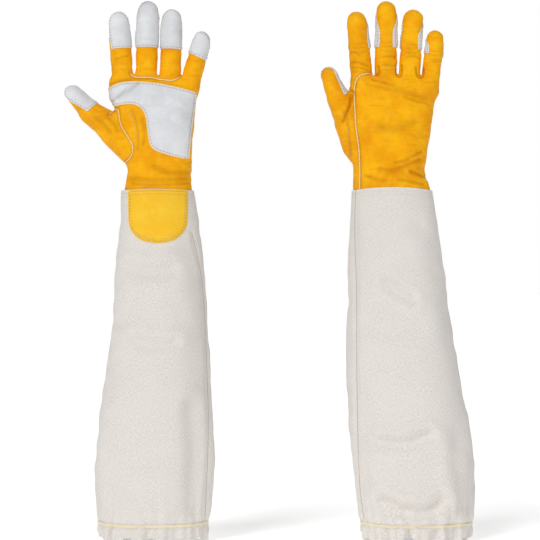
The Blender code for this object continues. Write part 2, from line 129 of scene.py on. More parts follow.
def capsule(points, a, b, radius_a, radius_b, depth_a=0.95, depth_b=0.95):
    """A tapered capsule from a to b, whose section is an oval: depth is its share in Y."""
    line = b - a
    t = np.clip(((points - a) @ line) / (line @ line), 0, 1)
    off = points - a - t[:, None] * line
    y = off[:, 1] / (depth_a + (depth_b - depth_a) * t)
    return np.sqrt(off[:, 0] ** 2 + off[:, 2] ** 2 + y ** 2) - (radius_a + (radius_b - radius_a) * t)


def ball(points, middle, radii):
    q = (points - middle) / radii
    return (np.sqrt((q ** 2).sum(1)) - 1) * min(radii)


def waviness(points, scale, seed):
    """A smooth, repeatable unevenness between -1 and 1, from a few crossed waves."""
    rng = np.random.default_rng(seed)
    total = np.zeros(len(points))
    for _ in range(7):
        direction = rng.normal(size=3)
        direction *= math.tau / (scale * np.linalg.norm(direction) * rng.uniform(0.7, 1.5))
        total += np.sin(points @ direction + rng.uniform(0, math.tau))
    return total / 4.0


# %% [markdown]
# ## Sections of the palm
# A few heights are enough for the hand's outline: where its two sides are, and how thick it is in
# front and behind. Places are read from the wrist's axis. The palm is thickest below its middle and
# thins towards the knuckles, and its section turns from an oval into a rounded rectangle.

# %% The oval body of the hand
PALM_HEIGHTS = (-0.0160, -0.0061, 0.0027, 0.0159, 0.0379, 0.0599, 0.0819, 0.0973, 0.1184)
PALM_SIDES = {
    "left": ((-0.0396, -0.0370, -0.0351, -0.0363, -0.0408, -0.0473, -0.0518, -0.0544, -0.0550),
             (0.0354, 0.0349, 0.0346, 0.0347, 0.0353, 0.0374, 0.0398, 0.0421, 0.0434)),
    "right": ((-0.0389, -0.0388, -0.0387, -0.0382, -0.0384, -0.0390, -0.0396, -0.0402, -0.0406),
              (0.0462, 0.0424, 0.0392, 0.0414, 0.0449, 0.0479, 0.0511, 0.0533, 0.0548)),
}
PALM_FRONT = (0.0252, 0.0240, 0.0230, 0.0225, 0.0212, 0.0192, 0.0168, 0.0150, 0.0130)
PALM_BACK = (0.0252, 0.0240, 0.0230, 0.0228, 0.0220, 0.0205, 0.0180, 0.0158, 0.0128)
PALM_POWER = (2.0, 2.0, 2.05, 2.1, 2.25, 2.5, 2.8, 3.1, 3.4)


def palm_field(points, glove):
    z = points[:, 2] - glove["wrist"][2]
    left, right = (np.interp(z, PALM_HEIGHTS, row) for row in PALM_SIDES[glove["side"]])
    x = points[:, 0] - glove["wrist"][0] - (left + right) / 2
    y = points[:, 1]
    half_y = np.where(y < 0, np.interp(z, PALM_HEIGHTS, PALM_FRONT), np.interp(z, PALM_HEIGHTS, PALM_BACK))
    power = np.interp(z, PALM_HEIGHTS, PALM_POWER)
    share = (np.abs(x) / ((right - left) / 2)) ** power + (np.abs(y) / half_y) ** power
    share = np.maximum(share, 1e-9) ** (1 / power)
    side_way = np.hypot(x, y) * (1 - 1 / share)
    top = np.full(len(points), -1.0)
    for name in FINGERS:
        ahead = (points - glove[name]["root"]) @ glove[name]["root_along"]
        top = np.maximum(top, ahead + 0.0030)
    return -soft_min(-side_way, -top, 0.010)


ROOT_DEPTH = {"index": 0.020, "middle": 0.022, "ring": 0.022, "little": 0.013}    # into the palm
# Unevenness of the leather and of the canvas: how high, how long, and the seed of the waves.
HAND_LUMPS = ((0.00075, 0.024, 5), (0.0002, 0.009, 8))
CLOTH_LUMPS = ((0.0012, 0.046, 3), (0.0005, 0.019, 6))


def hand_field(points, glove):
    """Distance to the leather hand's surface, in metres, with the palm towards -Y."""
    fingers = None
    for name in FINGERS:
        f = glove[name]
        inside = f["root"] - f["root_along"] * ROOT_DEPTH[name]
        lower = capsule(points, inside, f["seam"], ROOT_RADIUS[name], SEAM_RADIUS[name])
        upper = capsule(points, f["seam"], f["end"], SEAM_RADIUS[name], END_RADIUS[name])
        finger = np.minimum(lower, upper)
        along = (points - f["seam"]) @ f["along"]
        front = smooth(0.5 - points[:, 1] / 0.012)
        crease = np.exp(-((along + 0.001) / 0.0022) ** 2) + 0.6 * np.exp(-((along - 0.021) / 0.002) ** 2)
        finger = finger + 0.0005 * crease * (0.4 + 0.6 * front)
        fingers = finger if fingers is None else soft_min(fingers, finger, 0.0012)
    palm = palm_field(points, glove)
    body = soft_min(palm, fingers, 0.007)
    t = glove["thumb"]
    ball_at = t["root"] - t["root_along"] * 0.010 + np.array([0, -0.001, -0.002])
    thumb = capsule(points, ball_at, t["seam"], 0.0215, SEAM_RADIUS["thumb"], 0.76, 0.95)
    thumb_end = capsule(points, t["seam"], t["end"], SEAM_RADIUS["thumb"], END_RADIUS["thumb"])
    body = soft_min(body, soft_min(thumb, thumb_end, 0.003), 0.007)
    wrist = glove["wrist"]
    heel = ball(points, wrist + np.array([0.020, -0.0135, 0.036]), np.array([0.014, 0.009, 0.028]))
    body = soft_min(body, heel, 0.012)
    for height, scale, seed in HAND_LUMPS:
        body = body + height * waviness(points, scale, seed)
    return body


# %% [markdown]
# ## From field to mesh
# Surface nets put one vertex in every small cube that the surface crosses, at the mean of its
# edge crossings, and join neighbouring cubes with squares. That gives even faces everywhere.
# Each vertex is then moved onto the surface along the field's slope, which also gives its normal.

# %% Surface nets
def surface_net(field, low, step):
    cuts = (slice(None, -1), slice(1, None))
    shape = tuple(n - 1 for n in field.shape)
    total, count = np.zeros(shape + (3,)), np.zeros(shape)
    for axis in range(3):
        for u in (0, 1):
            for v in (0, 1):
                start = [u, v]
                start.insert(axis, 0)
                end = [u, v]
                end.insert(axis, 1)
                a = field[tuple(cuts[i] for i in start)]
                b = field[tuple(cuts[i] for i in end)]
                crossed = (a < 0) != (b < 0)
                t = np.where(crossed, a / np.where(crossed, a - b, 1), 0)
                for i in range(3):
                    total[..., i] += t if i == axis else start[i] * crossed
                count += crossed
    active = count > 0
    ids = np.full(shape, -1)
    ids[active] = np.arange(active.sum())
    cells = np.argwhere(active)
    vertices = (cells + total[active] / count[active][:, None]) * step + low
    faces = []
    for axis in range(3):
        p, q = [i for i in range(3) if i != axis]
        a = np.moveaxis(field, axis, 0)[:-1]
        b = np.moveaxis(field, axis, 0)[1:]
        crossed = np.moveaxis((a < 0) != (b < 0), 0, axis)
        outward = np.moveaxis(a < 0, 0, axis)
        at = np.argwhere(crossed)
        at = at[(at[:, p] > 0) & (at[:, q] > 0) & (at[:, p] < shape[p]) & (at[:, q] < shape[q])]
        step_p, step_q = np.eye(3, dtype=int)[p], np.eye(3, dtype=int)[q]
        quad = np.stack([ids[tuple((at - m).T)] for m in
                         (step_p + step_q, step_q, np.zeros(3, int), step_p)], 1)
        turn = outward[tuple(at.T)] != (axis == 1)
        quad[~turn] = quad[~turn][:, ::-1]
        faces.append(quad)
    quads = np.vstack(faces)
    return vertices, np.vstack([quads[:, [0, 1, 2]], quads[:, [0, 2, 3]]])


def field_normals(points, glove, reach=0.0006):
    slopes = []
    for axis in np.eye(3):
        slopes.append(hand_field(points + axis * reach, glove) - hand_field(points - axis * reach, glove))
    slopes = np.array(slopes).T / (2 * reach)
    size = np.linalg.norm(slopes, axis=1)[:, None]
    return slopes / size, size[:, 0]


NET_STEP = 0.00125
NET_MARGIN = 0.016    # how far the net reaches past the joints and fingertips


def hand_mesh(glove):
    """The hand's vertices and triangles. A row holds a place, a normal and how much painted shade its crease
    gets.
    """
    reach = [glove[name]["end"] for name in LIMBS] + [glove["wrist"]]
    low = np.min(reach, axis=0) - NET_MARGIN
    high = np.max(reach, axis=0) + NET_MARGIN
    low[0] -= 0.002
    high[0] = max(high[0], glove["little"]["root"][0] + 0.022, glove["cuff_x"] + 0.045)
    low[1], high[1] = -0.036, 0.036
    low[2] = glove["cuff_z"] - 0.006
    sides = [np.arange(low[i], high[i], NET_STEP) for i in range(3)]
    grid = np.stack(np.meshgrid(*sides, indexing="ij"), -1).reshape(-1, 3)
    field = hand_field(grid, glove).reshape([len(s) for s in sides])
    vertices, faces = surface_net(field, low, NET_STEP)
    for _ in range(2):
        normals, slope = field_normals(vertices, glove)
        vertices = vertices - normals * (hand_field(vertices, glove) / slope)[:, None]
    normals, _ = field_normals(vertices, glove)
    return np.hstack([vertices, normals, np.zeros((len(vertices), 1))]), faces


for side, glove in GLOVES.items():
    rim_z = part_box(side + "_wrist_leather")[0].z + 0.001
    wrist_points = frame["nodes"][side + "_wrist_leather"].data.vertices
    cuff = [v.co.x for v in wrist_points if v.co.z < rim_z]
    glove["cuff_x"] = (min(cuff) + max(cuff)) / 2
    glove["skin"], glove["faces"] = hand_mesh(glove)
    print(side, "hand:", len(glove["skin"]), "vertices")

# %% [markdown]
# ## Seam lines, drawn on the hand
# A sewn seam pulls the leather down into a shallow channel and puckers it. The seam lines are
# given as x and z from the wrist's axis, and the two hands are posed a little differently, so
# a line that is right for one is sheared to fit the other.

# %% Seam lines and patch outlines
def soften(points, rounds=3, closed=False):
    """Cuts corners again and again, which turns a few points into a smooth line (Chaikin)."""
    points = np.array(points, float)
    for _ in range(rounds):
        ahead = np.roll(points, -1, 0) if closed else points[1:]
        here = points if closed else points[:-1]
        cut = np.stack([here * 0.75 + ahead * 0.25, here * 0.25 + ahead * 0.75], 1).reshape(-1, 2)
        points = cut if closed else np.vstack([points[:1], cut, points[-1:]])
    return points


THUMB_SEAM = [(-0.0560, 0.0655), (-0.0490, 0.0720), (-0.0444, 0.0720), (-0.0440, 0.0600),
              (-0.0410, 0.0511), (-0.0320, 0.0380), (-0.0280, 0.0297), (-0.0302, 0.0190),
              (-0.0380, 0.0130), (-0.0440, 0.0110)]
THUMB_SECOND_ROW = [(-0.0302, 0.0709), (-0.0243, 0.0571), (-0.0223, 0.0394), (-0.0233, 0.0276)]
THUMB_THIRD_ROW = [(-0.0350, 0.0690), (-0.0277, 0.0560), (-0.0254, 0.0400), (-0.0262, 0.0270)]
FINGER_BASE_SEAM = [(-0.0320, 0.1110), (-0.0300, 0.1062), (-0.0077, 0.1062), (-0.0021, 0.1041),
                    (0.0175, 0.1021), (0.0225, 0.1080)]
PALM_PATCH = [(-0.0640, 0.0930), (-0.0541, 0.0951), (-0.0417, 0.1006), (-0.0219, 0.1013),
              (0.0034, 0.0986), (0.0340, 0.0915), (0.0398, 0.0895), (0.0400, 0.0860),
              (0.0352, 0.0520), (0.0326, 0.0190), (0.0318, 0.0160), (0.0290, 0.0164),
              (-0.0049, 0.0249), (-0.0105, 0.0345), (-0.0126, 0.0515), (-0.0142, 0.0654),
              (-0.0219, 0.0753), (-0.0329, 0.0775), (-0.0485, 0.0753), (-0.0640, 0.0760)]
BACK_SEAM = [(-0.0160, 0.1125), (-0.0210, 0.1105), (-0.0310, 0.1095), (-0.0365, 0.1030),
             (-0.0378, 0.0900), (-0.0365, 0.0515), (-0.0330, 0.0305), (-0.0315, 0.0095),
             (-0.0318, -0.0172)]
BACK_THUMB_SEAM = [(-0.0500, 0.0690), (-0.0449, 0.0587), (-0.0434, 0.0378), (-0.0420, 0.0200)]
CROTCH_LOOPS = (
    [(-0.0167, 0.1182), (-0.0158, 0.1105), (-0.0134, 0.1088), (-0.0108, 0.1108), (-0.0118, 0.1182)],
    [(0.0088, 0.1193), (0.0088, 0.1094), (0.0113, 0.1068), (0.0138, 0.1096), (0.0138, 0.1193)],
    [(0.0300, 0.1175), (0.0312, 0.1086), (0.0345, 0.1054), (0.0378, 0.1086), (0.0380, 0.1160)],
)
# Seams: a line, the hand it is drawn for, how deep and wide it is, and the height, reach and pitch
# of its puckers. Lines for the left hand lie on its palm side, lines for the right hand on its back.
SEAMS = (
    (THUMB_SEAM, "left", 0.0010, 0.0016, (0.00035, 0.005, 0.0046)),
    (THUMB_SECOND_ROW, "left", 0.0006, 0.0012, None),
    (FINGER_BASE_SEAM, "left", 0.0008, 0.0014, None),
    (BACK_SEAM, "right", 0.0010, 0.0016, (0.00022, 0.004, 0.0052)),
    (BACK_THUMB_SEAM, "right", 0.0006, 0.0014, None),
)
# Folds of the leather: a line, how deep and how wide it is in metres, and the face it is on.
LEATHER_FOLDS = (
    ([(-0.0540, 0.0990), (-0.0317, 0.1040), (-0.0122, 0.1048)], 0.0012, 0.0016, -1),
    ([(-0.0450, 0.0840), (-0.0340, 0.0900), (-0.0230, 0.0985)], 0.0012, 0.0026, -1),
    ([(-0.0530, 0.0790), (-0.0440, 0.0850), (-0.0360, 0.0930)], 0.0009, 0.0020, -1),
    ([(-0.0320, -0.0040), (-0.0060, -0.0080), (0.0300, -0.0050)], 0.0014, 0.0030, -1),
    ([(-0.0300, -0.0105), (-0.0020, -0.0125), (0.0320, -0.0100)], 0.0009, 0.0016, -1),
    ([(-0.0050, 0.0080), (0.0130, 0.0010), (0.0300, 0.0020)], 0.0012, 0.0034, -1),
    ([(-0.0480, 0.1260), (-0.0400, 0.1290), (-0.0340, 0.1300)], 0.0007, 0.0013, -1),
    ([(-0.0560, 0.0620), (-0.0490, 0.0560), (-0.0450, 0.0480)], 0.0009, 0.0022, -1),
    ([(-0.0700, 0.0620), (-0.0600, 0.0560), (-0.0540, 0.0460)], 0.0008, 0.0024, -1),
    ([(-0.0180, 0.0600), (-0.0150, 0.0480), (-0.0170, 0.0330)], 0.0008, 0.0020, -1),
    ([(-0.0426, 0.1342), (-0.0370, 0.1335), (-0.0317, 0.1305)], 0.0009, 0.0011, 1),
    ([(-0.0415, 0.1230), (-0.0330, 0.1225), (-0.0217, 0.1190)], 0.0010, 0.0013, 1),
    ([(-0.0405, 0.1175), (-0.0310, 0.1172), (-0.0230, 0.1140)], 0.0008, 0.0011, 1),
    ([(-0.0400, 0.1125), (-0.0300, 0.1128), (-0.0210, 0.1110)], 0.0006, 0.0010, 1),
    ([(-0.0060, 0.1290), (0.0030, 0.1300), (0.0090, 0.1285)], 0.0009, 0.0012, 1),
    ([(-0.0060, 0.1200), (0.0030, 0.1190), (0.0100, 0.1200)], 0.0008, 0.0012, 1),
    ([(-0.0050, 0.1150), (0.0010, 0.1140), (0.0060, 0.1150)], 0.0006, 0.0011, 1),
    ([(0.0200, 0.1290), (0.0270, 0.1300), (0.0340, 0.1280)], 0.0008, 0.0012, 1),
    ([(-0.0180, 0.1040), (-0.0060, 0.1000), (0.0060, 0.0970)], 0.0008, 0.0015, 1),
    ([(-0.0250, 0.0990), (-0.0120, 0.0950), (0.0010, 0.0930)], 0.0006, 0.0014, 1),
    ([(0.0090, 0.0930), (0.0240, 0.0870), (0.0400, 0.0830)], 0.0013, 0.0040, 1),
    ([(0.0180, 0.0840), (0.0300, 0.0800), (0.0420, 0.0780)], 0.0008, 0.0018, 1),
    ([(-0.0120, 0.0520), (0.0080, 0.0480), (0.0260, 0.0560)], 0.0009, 0.0050, 1),
    ([(-0.0107, 0.0049), (0.0069, 0.0030), (0.0333, 0.0159)], 0.0017, 0.0026, 1),
    ([(0.0060, 0.0120), (0.0200, 0.0150), (0.0360, 0.0260)], 0.0009, 0.0016, 1),
    ([(0.0245, 0.0027), (0.0340, 0.0000), (0.0421, -0.0039)], 0.0016, 0.0022, 1),
    ([(-0.0261, -0.0017), (-0.0160, -0.0060), (-0.0063, -0.0072)], 0.0012, 0.0020, 1),
    ([(0.0100, -0.0060), (0.0250, -0.0080), (0.0380, -0.0110)], 0.0010, 0.0018, 1),
    ([(-0.0395, 0.0900), (-0.0416, 0.0753), (-0.0460, 0.0676), (-0.0504, 0.0577)], 0.0030, 0.0019, 1),
)
KNUCKLE_SHIFT = {side: float((g["index"]["root"][0] + g["little"]["root"][0]) / 2 - g["wrist"][0])
                 for side, g in GLOVES.items()}


def on_glove(line, side, drawn_for, closed=False, rounds=3):
    """A smooth seam line in the glove's own place, sheared from the hand it was drawn for."""
    points = soften(line, rounds, closed)
    lean = (KNUCKLE_SHIFT[side] - KNUCKLE_SHIFT[drawn_for]) / 0.110
    wrist = GLOVES[side]["wrist"]
    return np.stack([points[:, 0] + points[:, 1] * lean + wrist[0], points[:, 1] + wrist[2]], 1)


def line_distance(points, line, closed=False):
    """For each vertex: distance in the plane of the hand to a line, and how far along it."""
    flat = points[:, [0, 2]]
    best, along = np.full(len(flat), 9.0), np.zeros(len(flat))
    run = 0.0
    ends = np.roll(line, -1, 0) if closed else line[1:]
    for a, b in zip(line, ends):
        ab = b - a
        length = math.hypot(*ab)
        t = np.clip(((flat - a) @ ab) / length ** 2, 0, 1)
        d = np.hypot(*(flat - a - t[:, None] * ab).T)
        near = d < best
        best[near], along[near] = d[near], run + t[near] * length
        run += length
    return best, along


def inside_outline(points, line):
    """Signed distance in the plane of the hand to a closed outline, negative inside."""
    d, _ = line_distance(points, line, closed=True)
    x, z = points[:, 0], points[:, 2]
    inside = np.zeros(len(points), bool)
    for (ax, az), (bx, bz) in zip(line, np.roll(line, -1, 0)):
        if az != bz:
            crossing = ((az > z) != (bz > z)) & (x < (bx - ax) * (z - az) / (bz - az) + ax)
            inside ^= crossing
    return np.where(inside, -d, d)


# %% Press the seams and creases into the leather, and paint shade into them
# Painted shade: a seam this deep or deeper gets the darkest painted shade, and a fold gets less than a seam.
FULL_SHADE_DEPTH = 0.0008     # a seam this deep or deeper is as dark as it gets
FOLD_SHADE = 0.55             # a fold is less dark than a seam
FOLD_RIDGE = 0.25             # the leather beside a fold rises by this share of its depth


def press(skin, distance, depth, width, side_mask=1.0, shade=1.0):
    """Pushes the skin in along a line, and notes how much painted shade the crease gets."""
    push = np.exp(-(distance / width) ** 2) * side_mask
    skin[:, :3] -= skin[:, 3:6] * (depth * push)[:, None]
    # Painted shade: this value later darkens the leather's colour in the crease, where shade falls.
    skin[:, 6] = np.maximum(skin[:, 6], push * shade * min(depth / FULL_SHADE_DEPTH, 1.0))


def pucker(skin, distance, along, height, reach, pitch, side_mask):
    """Ripples beside a sewn line, where the thread draws the leather together."""
    ripple = np.sin(along * math.tau / pitch) * np.exp(-(distance / reach) ** 2)
    skin[:, :3] += skin[:, 3:6] * (height * ripple * side_mask)[:, None]


def crease_backs(skin, glove, back):
    """Short cross creases over the knuckles on the back of each finger."""
    for name in FINGERS:
        f = glove[name]
        along = (skin[:, :3] - f["seam"]) @ f["along"]
        off = np.abs((skin[:, :3] - f["seam"]) @ crosswise(f["along"]))
        reach = back * np.exp(-(off / 0.0085) ** 4)
        for place in (-0.0045, 0.0005, 0.0050):
            # The knuckle creases get some painted shade too.
            press(skin, along - place - off * 0.12, 0.00050, 0.0010, reach, 0.6)


for side, glove in GLOVES.items():
    skin = glove["skin"]
    front = smooth(0.5 - skin[:, 4] * 2)
    back = 1 - front
    shown = {"left": front, "right": back}
    for line, drawn_for, depth, width, puckers in SEAMS:
        d, along = line_distance(skin, on_glove(line, side, drawn_for))
        press(skin, d, depth, width, shown[drawn_for])
        if puckers:
            pucker(skin, d, along, *puckers, shown[drawn_for])
    crease_backs(skin, glove, back)
    for line in CROTCH_LOOPS:
        d, _ = line_distance(skin, on_glove(line, side, "right"))
        # The loops between the fingers get the full painted shade.
        press(skin, d, 0.0014, 0.0011, back)
    for line, depth, width, facing in LEATHER_FOLDS:
        drawn_for = "left" if facing < 0 else "right"
        d, _ = line_distance(skin, on_glove(line, side, drawn_for))
        ridge = np.exp(-((d - width * 1.6) / width) ** 2) * shown[drawn_for]
        skin[:, :3] += skin[:, 3:6] * (depth * FOLD_RIDGE * ridge)[:, None]
        press(skin, d, depth, width, shown[drawn_for], FOLD_SHADE)

# %% [markdown]
# ## Cutting the hand into pieces
# A scalar on every vertex, such as the distance past a joint, cuts the mesh where it is zero:
# triangles that cross zero are divided, and both sides share the new vertices. So neighbouring
# pieces meet exactly, and no gap shows at rest.

# %% Cut by a scalar
def cut(skin, faces, value):
    """The vertices with the new ones on the cut, and the triangles below and above zero."""
    value = np.where(np.abs(value) < 1e-4, 0, value)
    signs = np.sign(value)[faces]
    below = (signs <= 0).all(1)
    above = (signs >= 0).all(1) & ~below
    crossing = faces[~below & ~above]
    if not len(crossing):
        return skin, faces[below], faces[above]
    pairs = np.sort(np.vstack([crossing[:, [0, 1]], crossing[:, [1, 2]], crossing[:, [2, 0]]]), 1)
    split = pairs[value[pairs[:, 0]] * value[pairs[:, 1]] < 0]
    unique = np.unique(split, axis=0)
    t = value[unique[:, 0]] / (value[unique[:, 0]] - value[unique[:, 1]])
    added = skin[unique[:, 0]] * (1 - t[:, None]) + skin[unique[:, 1]] * t[:, None]
    index = {tuple(pair): len(skin) + i for i, pair in enumerate(unique)}
    halves = ([], [])
    for face in crossing:
        for sign, half in ((-1, halves[0]), (1, halves[1])):
            loop = []
            for a, b in zip(face, np.roll(face, -1)):
                if value[a] * sign >= 0:
                    loop.append(a)
                if value[a] * value[b] < 0:
                    loop.append(index[(min(a, b), max(a, b))])
            for i in range(1, len(loop) - 1):
                half.append((loop[0], loop[i], loop[i + 1]))
    low = np.vstack([faces[below], np.array(halves[0]).reshape(-1, 3)]).astype(int)
    high = np.vstack([faces[above], np.array(halves[1]).reshape(-1, 3)]).astype(int)
    return np.vstack([skin, added]), low, high


def islands(faces, count):
    """A label for every triangle, the same within each connected stretch."""
    label = np.arange(count)
    while True:
        lowest = label[faces].min(1)
        fresh = label.copy()
        for corner in range(3):
            np.minimum.at(fresh, faces[:, corner], lowest)
        fresh = fresh[fresh]
        if (fresh == label).all():
            return label[faces[:, 0]]
        label = fresh


def nearest_island(skin, faces, point):
    """Splits triangles into the connected stretch nearest to a point, and the rest."""
    label = islands(faces, len(skin))
    middles = skin[faces[:, 0], :3]
    chosen = label == label[np.argmin(((middles - point) ** 2).sum(1))]
    return faces[chosen], faces[~chosen]


# Where leather starts and stops bending, measured along the finger from its joint.
ROOT_CUT = 0.0040
THUMB_FOLD = {"left": (0.0240, 0.0450), "right": (0.0295, 0.0370)}


def cut_hand(side, glove):
    """The hand's triangles, one array for each part that bends by itself."""
    skin, faces = glove["skin"], glove["faces"]
    skin, wrist, upper = cut(skin, faces, skin[:, 2] - glove["hand_z"])
    ahead = np.full(len(skin), 1.0)
    for name in FINGERS:
        f = glove[name]
        offset = skin[:, :3] - f["root"]
        across = np.abs(offset @ crosswise(f["root_along"]))
        distance = offset @ f["root_along"] - ROOT_CUT
        ahead = np.where(across < 0.0150, np.minimum(ahead, distance), ahead)
    ahead = np.where(ahead > 0.9, skin[:, 2] - glove["index"]["root"][2] - ROOT_CUT, ahead)
    skin, hand, rest = cut(skin, upper, ahead)
    zones = {"wrist": wrist}
    for name in FINGERS:
        finger, rest = nearest_island(skin, rest, glove[name]["end"])
        value = (skin[:, :3] - glove[name]["seam"]) @ glove[name]["along"]
        skin, zones[name + "_base"], zones[name + "_tip"] = cut(skin, finger, value)
    hand = np.vstack([hand, rest])
    t = glove["thumb"]
    value = (skin[:, :3] - t["root"]) @ t["root_along"] - THUMB_FOLD[side][0]
    skin, hand, beyond = cut(skin, hand, value)
    thumb, other = nearest_island(skin, beyond, t["end"])
    value = (skin[:, :3] - t["root"]) @ t["root_along"] - THUMB_FOLD[side][1]
    skin, zones["thumb_base"], zones["thumb_tip"] = cut(skin, thumb, value)
    zones["hand"] = np.vstack([hand, other])
    glove["skin"], glove["zones"] = skin, zones
    print(side, {name: len(f) for name, f in zones.items()})


for side, glove in GLOVES.items():
    cut_hand(side, glove)

# %% [markdown]
# ## One shading across every border
# Smooth shading averages the faces round a vertex, so a piece that is cut off would shade
# differently at its border, and a line would show where the leather has no seam. The normals are
# therefore worked out once, on the whole hand, and every piece keeps them as custom normals.

# %% Normals of the whole hand
def with_normals(skin, faces):
    corners = skin[faces, :3]
    flat = np.cross(corners[:, 1] - corners[:, 0], corners[:, 2] - corners[:, 0])
    total = np.zeros((len(skin), 3))
    for corner in range(3):
        np.add.at(total, faces[:, corner], flat)
    size = np.linalg.norm(total, axis=1)
    known = size > 0
    skin = skin.copy()
    skin[known, 3:6] = total[known] / size[known][:, None]
    return skin


for side, glove in GLOVES.items():
    every = np.vstack(list(glove["zones"].values()))
    fresh = with_normals(glove["skin"], every)
    agree = (fresh[:, 3:6] * glove["skin"][:, 3:6]).sum(1)
    glove["skin"] = fresh
    print(side, "normals that agree with the field:", round(float((agree > 0).mean()), 3))

# %% [markdown]
# ## Finishes
# Leather shines softly, has a fine grain, and its colour is never even: its tone varies at random,
# is lighter in worn patches, and has shade painted darker into its creases. The canvas is undyed cotton with
# thick and thin threads.
# Each finish is made of noise and waves in a few sizes, so it holds up from near and far.

# %% Node helper
def node_adder(tree):
    """A function that adds a node to a tree, sets it, and fills or links its sockets."""
    def add(kind, values=None, **settings):
        node = tree.nodes.new(kind)
        for setting, value in settings.items():
            setattr(node, setting, value)
        for socket, value in (values or {}).items():
            if isinstance(value, bpy.types.NodeSocket):
                tree.links.new(value, node.inputs[socket])
            else:
                node.inputs[socket].default_value = value
        return node

    return add


def finish(name, colour, roughness, **sockets):
    """A new material with its shader, and a function that adds and links nodes."""
    made = bpy.data.materials.new(name)
    made.use_nodes = True
    tree = made.node_tree
    shader = tree.nodes["Principled BSDF"]
    shader.inputs["Base Color"].default_value = (*colour, 1)
    shader.inputs["Roughness"].default_value = roughness
    for socket, value in sockets.items():
        shader.inputs[socket.replace("_", " ")].default_value = value
    return made, shader, node_adder(tree), tree.links.new


def noise(add, where, scale, detail=3.0, roughness=0.55):
    values = {"Vector": where, "Scale": scale, "Detail": detail, "Roughness": roughness}
    return add("ShaderNodeTexNoise", values).outputs["Fac"]


def blend_colours(add, share, first, second):
    node = add("ShaderNodeMix", {0: share}, data_type="RGBA")
    for socket, value in ((6, first), (7, second)):
        if isinstance(value, bpy.types.NodeSocket):
            node.id_data.links.new(value, node.inputs[socket])
        else:
            node.inputs[socket].default_value = (*value, 1)
    return node.outputs[2]


def ranged(add, value, low, high, to_low=0.0, to_high=1.0):
    return add("ShaderNodeMapRange", {0: value, 1: low, 2: high, 3: to_low, 4: to_high}).outputs[0]


def maths(add, operation, a, b):
    return add("ShaderNodeMath", {0: a, 1: b}, operation=operation).outputs[0]


# %% Leather, dyed yellow and natural white
def leather(name, main, deep, worn, grain, gloss):
    made, shader, add, link = finish(name, main, gloss, Specular_IOR_Level=0.09)
    where = add("ShaderNodeTexCoord").outputs["Object"]
    cloud = ranged(add, noise(add, where, 34.0), 0.36, 0.66)
    colour = blend_colours(add, cloud, deep, main)
    patchy = ranged(add, noise(add, where, 120.0, 2.0), 0.50, 0.74)
    colour = blend_colours(add, maths(add, "MULTIPLY", patchy, 0.45), colour, worn)
    drawn_out = add("ShaderNodeMapping", {"Vector": where, "Scale": (60.0, 60.0, 230.0)}).outputs[0]
    wrinkle = noise(add, drawn_out, 1.0, 3.0, 0.6)
    colour = blend_colours(add, ranged(add, wrinkle, 0.52, 0.72, 0.0, 0.65), colour, deep)
    # Painted shade: the crease attribute darkens the colour towards a shadowed tone in seams, folds and
    # between the fingers.
    crease = add("ShaderNodeAttribute", attribute_name="crease").outputs["Fac"]
    shadowed = tuple(c * 0.50 for c in deep)
    colour = blend_colours(add, maths(add, "MULTIPLY", crease, 0.62), colour, shadowed)
    link(colour, shader.inputs["Base Color"])
    link(ranged(add, noise(add, where, 60.0), 0.3, 0.7, gloss - 0.06, gloss + 0.10),
         shader.inputs["Roughness"])
    cells = add("ShaderNodeTexVoronoi", {"Vector": where, "Scale": 950.0}, feature="DISTANCE_TO_EDGE")
    pores = ranged(add, cells.outputs["Distance"], 0.0, 0.22)
    soft = noise(add, where, 210.0, 4.0, 0.6)
    height = maths(add, "ADD", maths(add, "MULTIPLY", pores, 0.00006 * grain),
                   maths(add, "MULTIPLY", soft, 0.00050 * grain))
    height = maths(add, "ADD", height, maths(add, "MULTIPLY", wrinkle, 0.0016 * grain))
    bump = add("ShaderNodeBump", {"Height": height, "Strength": 0.85, "Distance": 1.0})
    link(bump.outputs["Normal"], shader.inputs["Normal"])
    return made


YELLOW = leather("yellow_leather_grain", (0.990, 0.480, 0.003), (0.850, 0.330, 0.001),
                 (0.985, 0.545, 0.022), 1.0, 0.42)
WHITE = leather("white_leather_grain", (0.760, 0.773, 0.791), (0.665, 0.678, 0.700),
                (0.820, 0.828, 0.838), 0.55, 0.44)
LABEL = leather("label_leather_grain", (0.970, 0.590, 0.040), (0.940, 0.530, 0.024),
                (0.980, 0.660, 0.080), 0.6, 0.50)


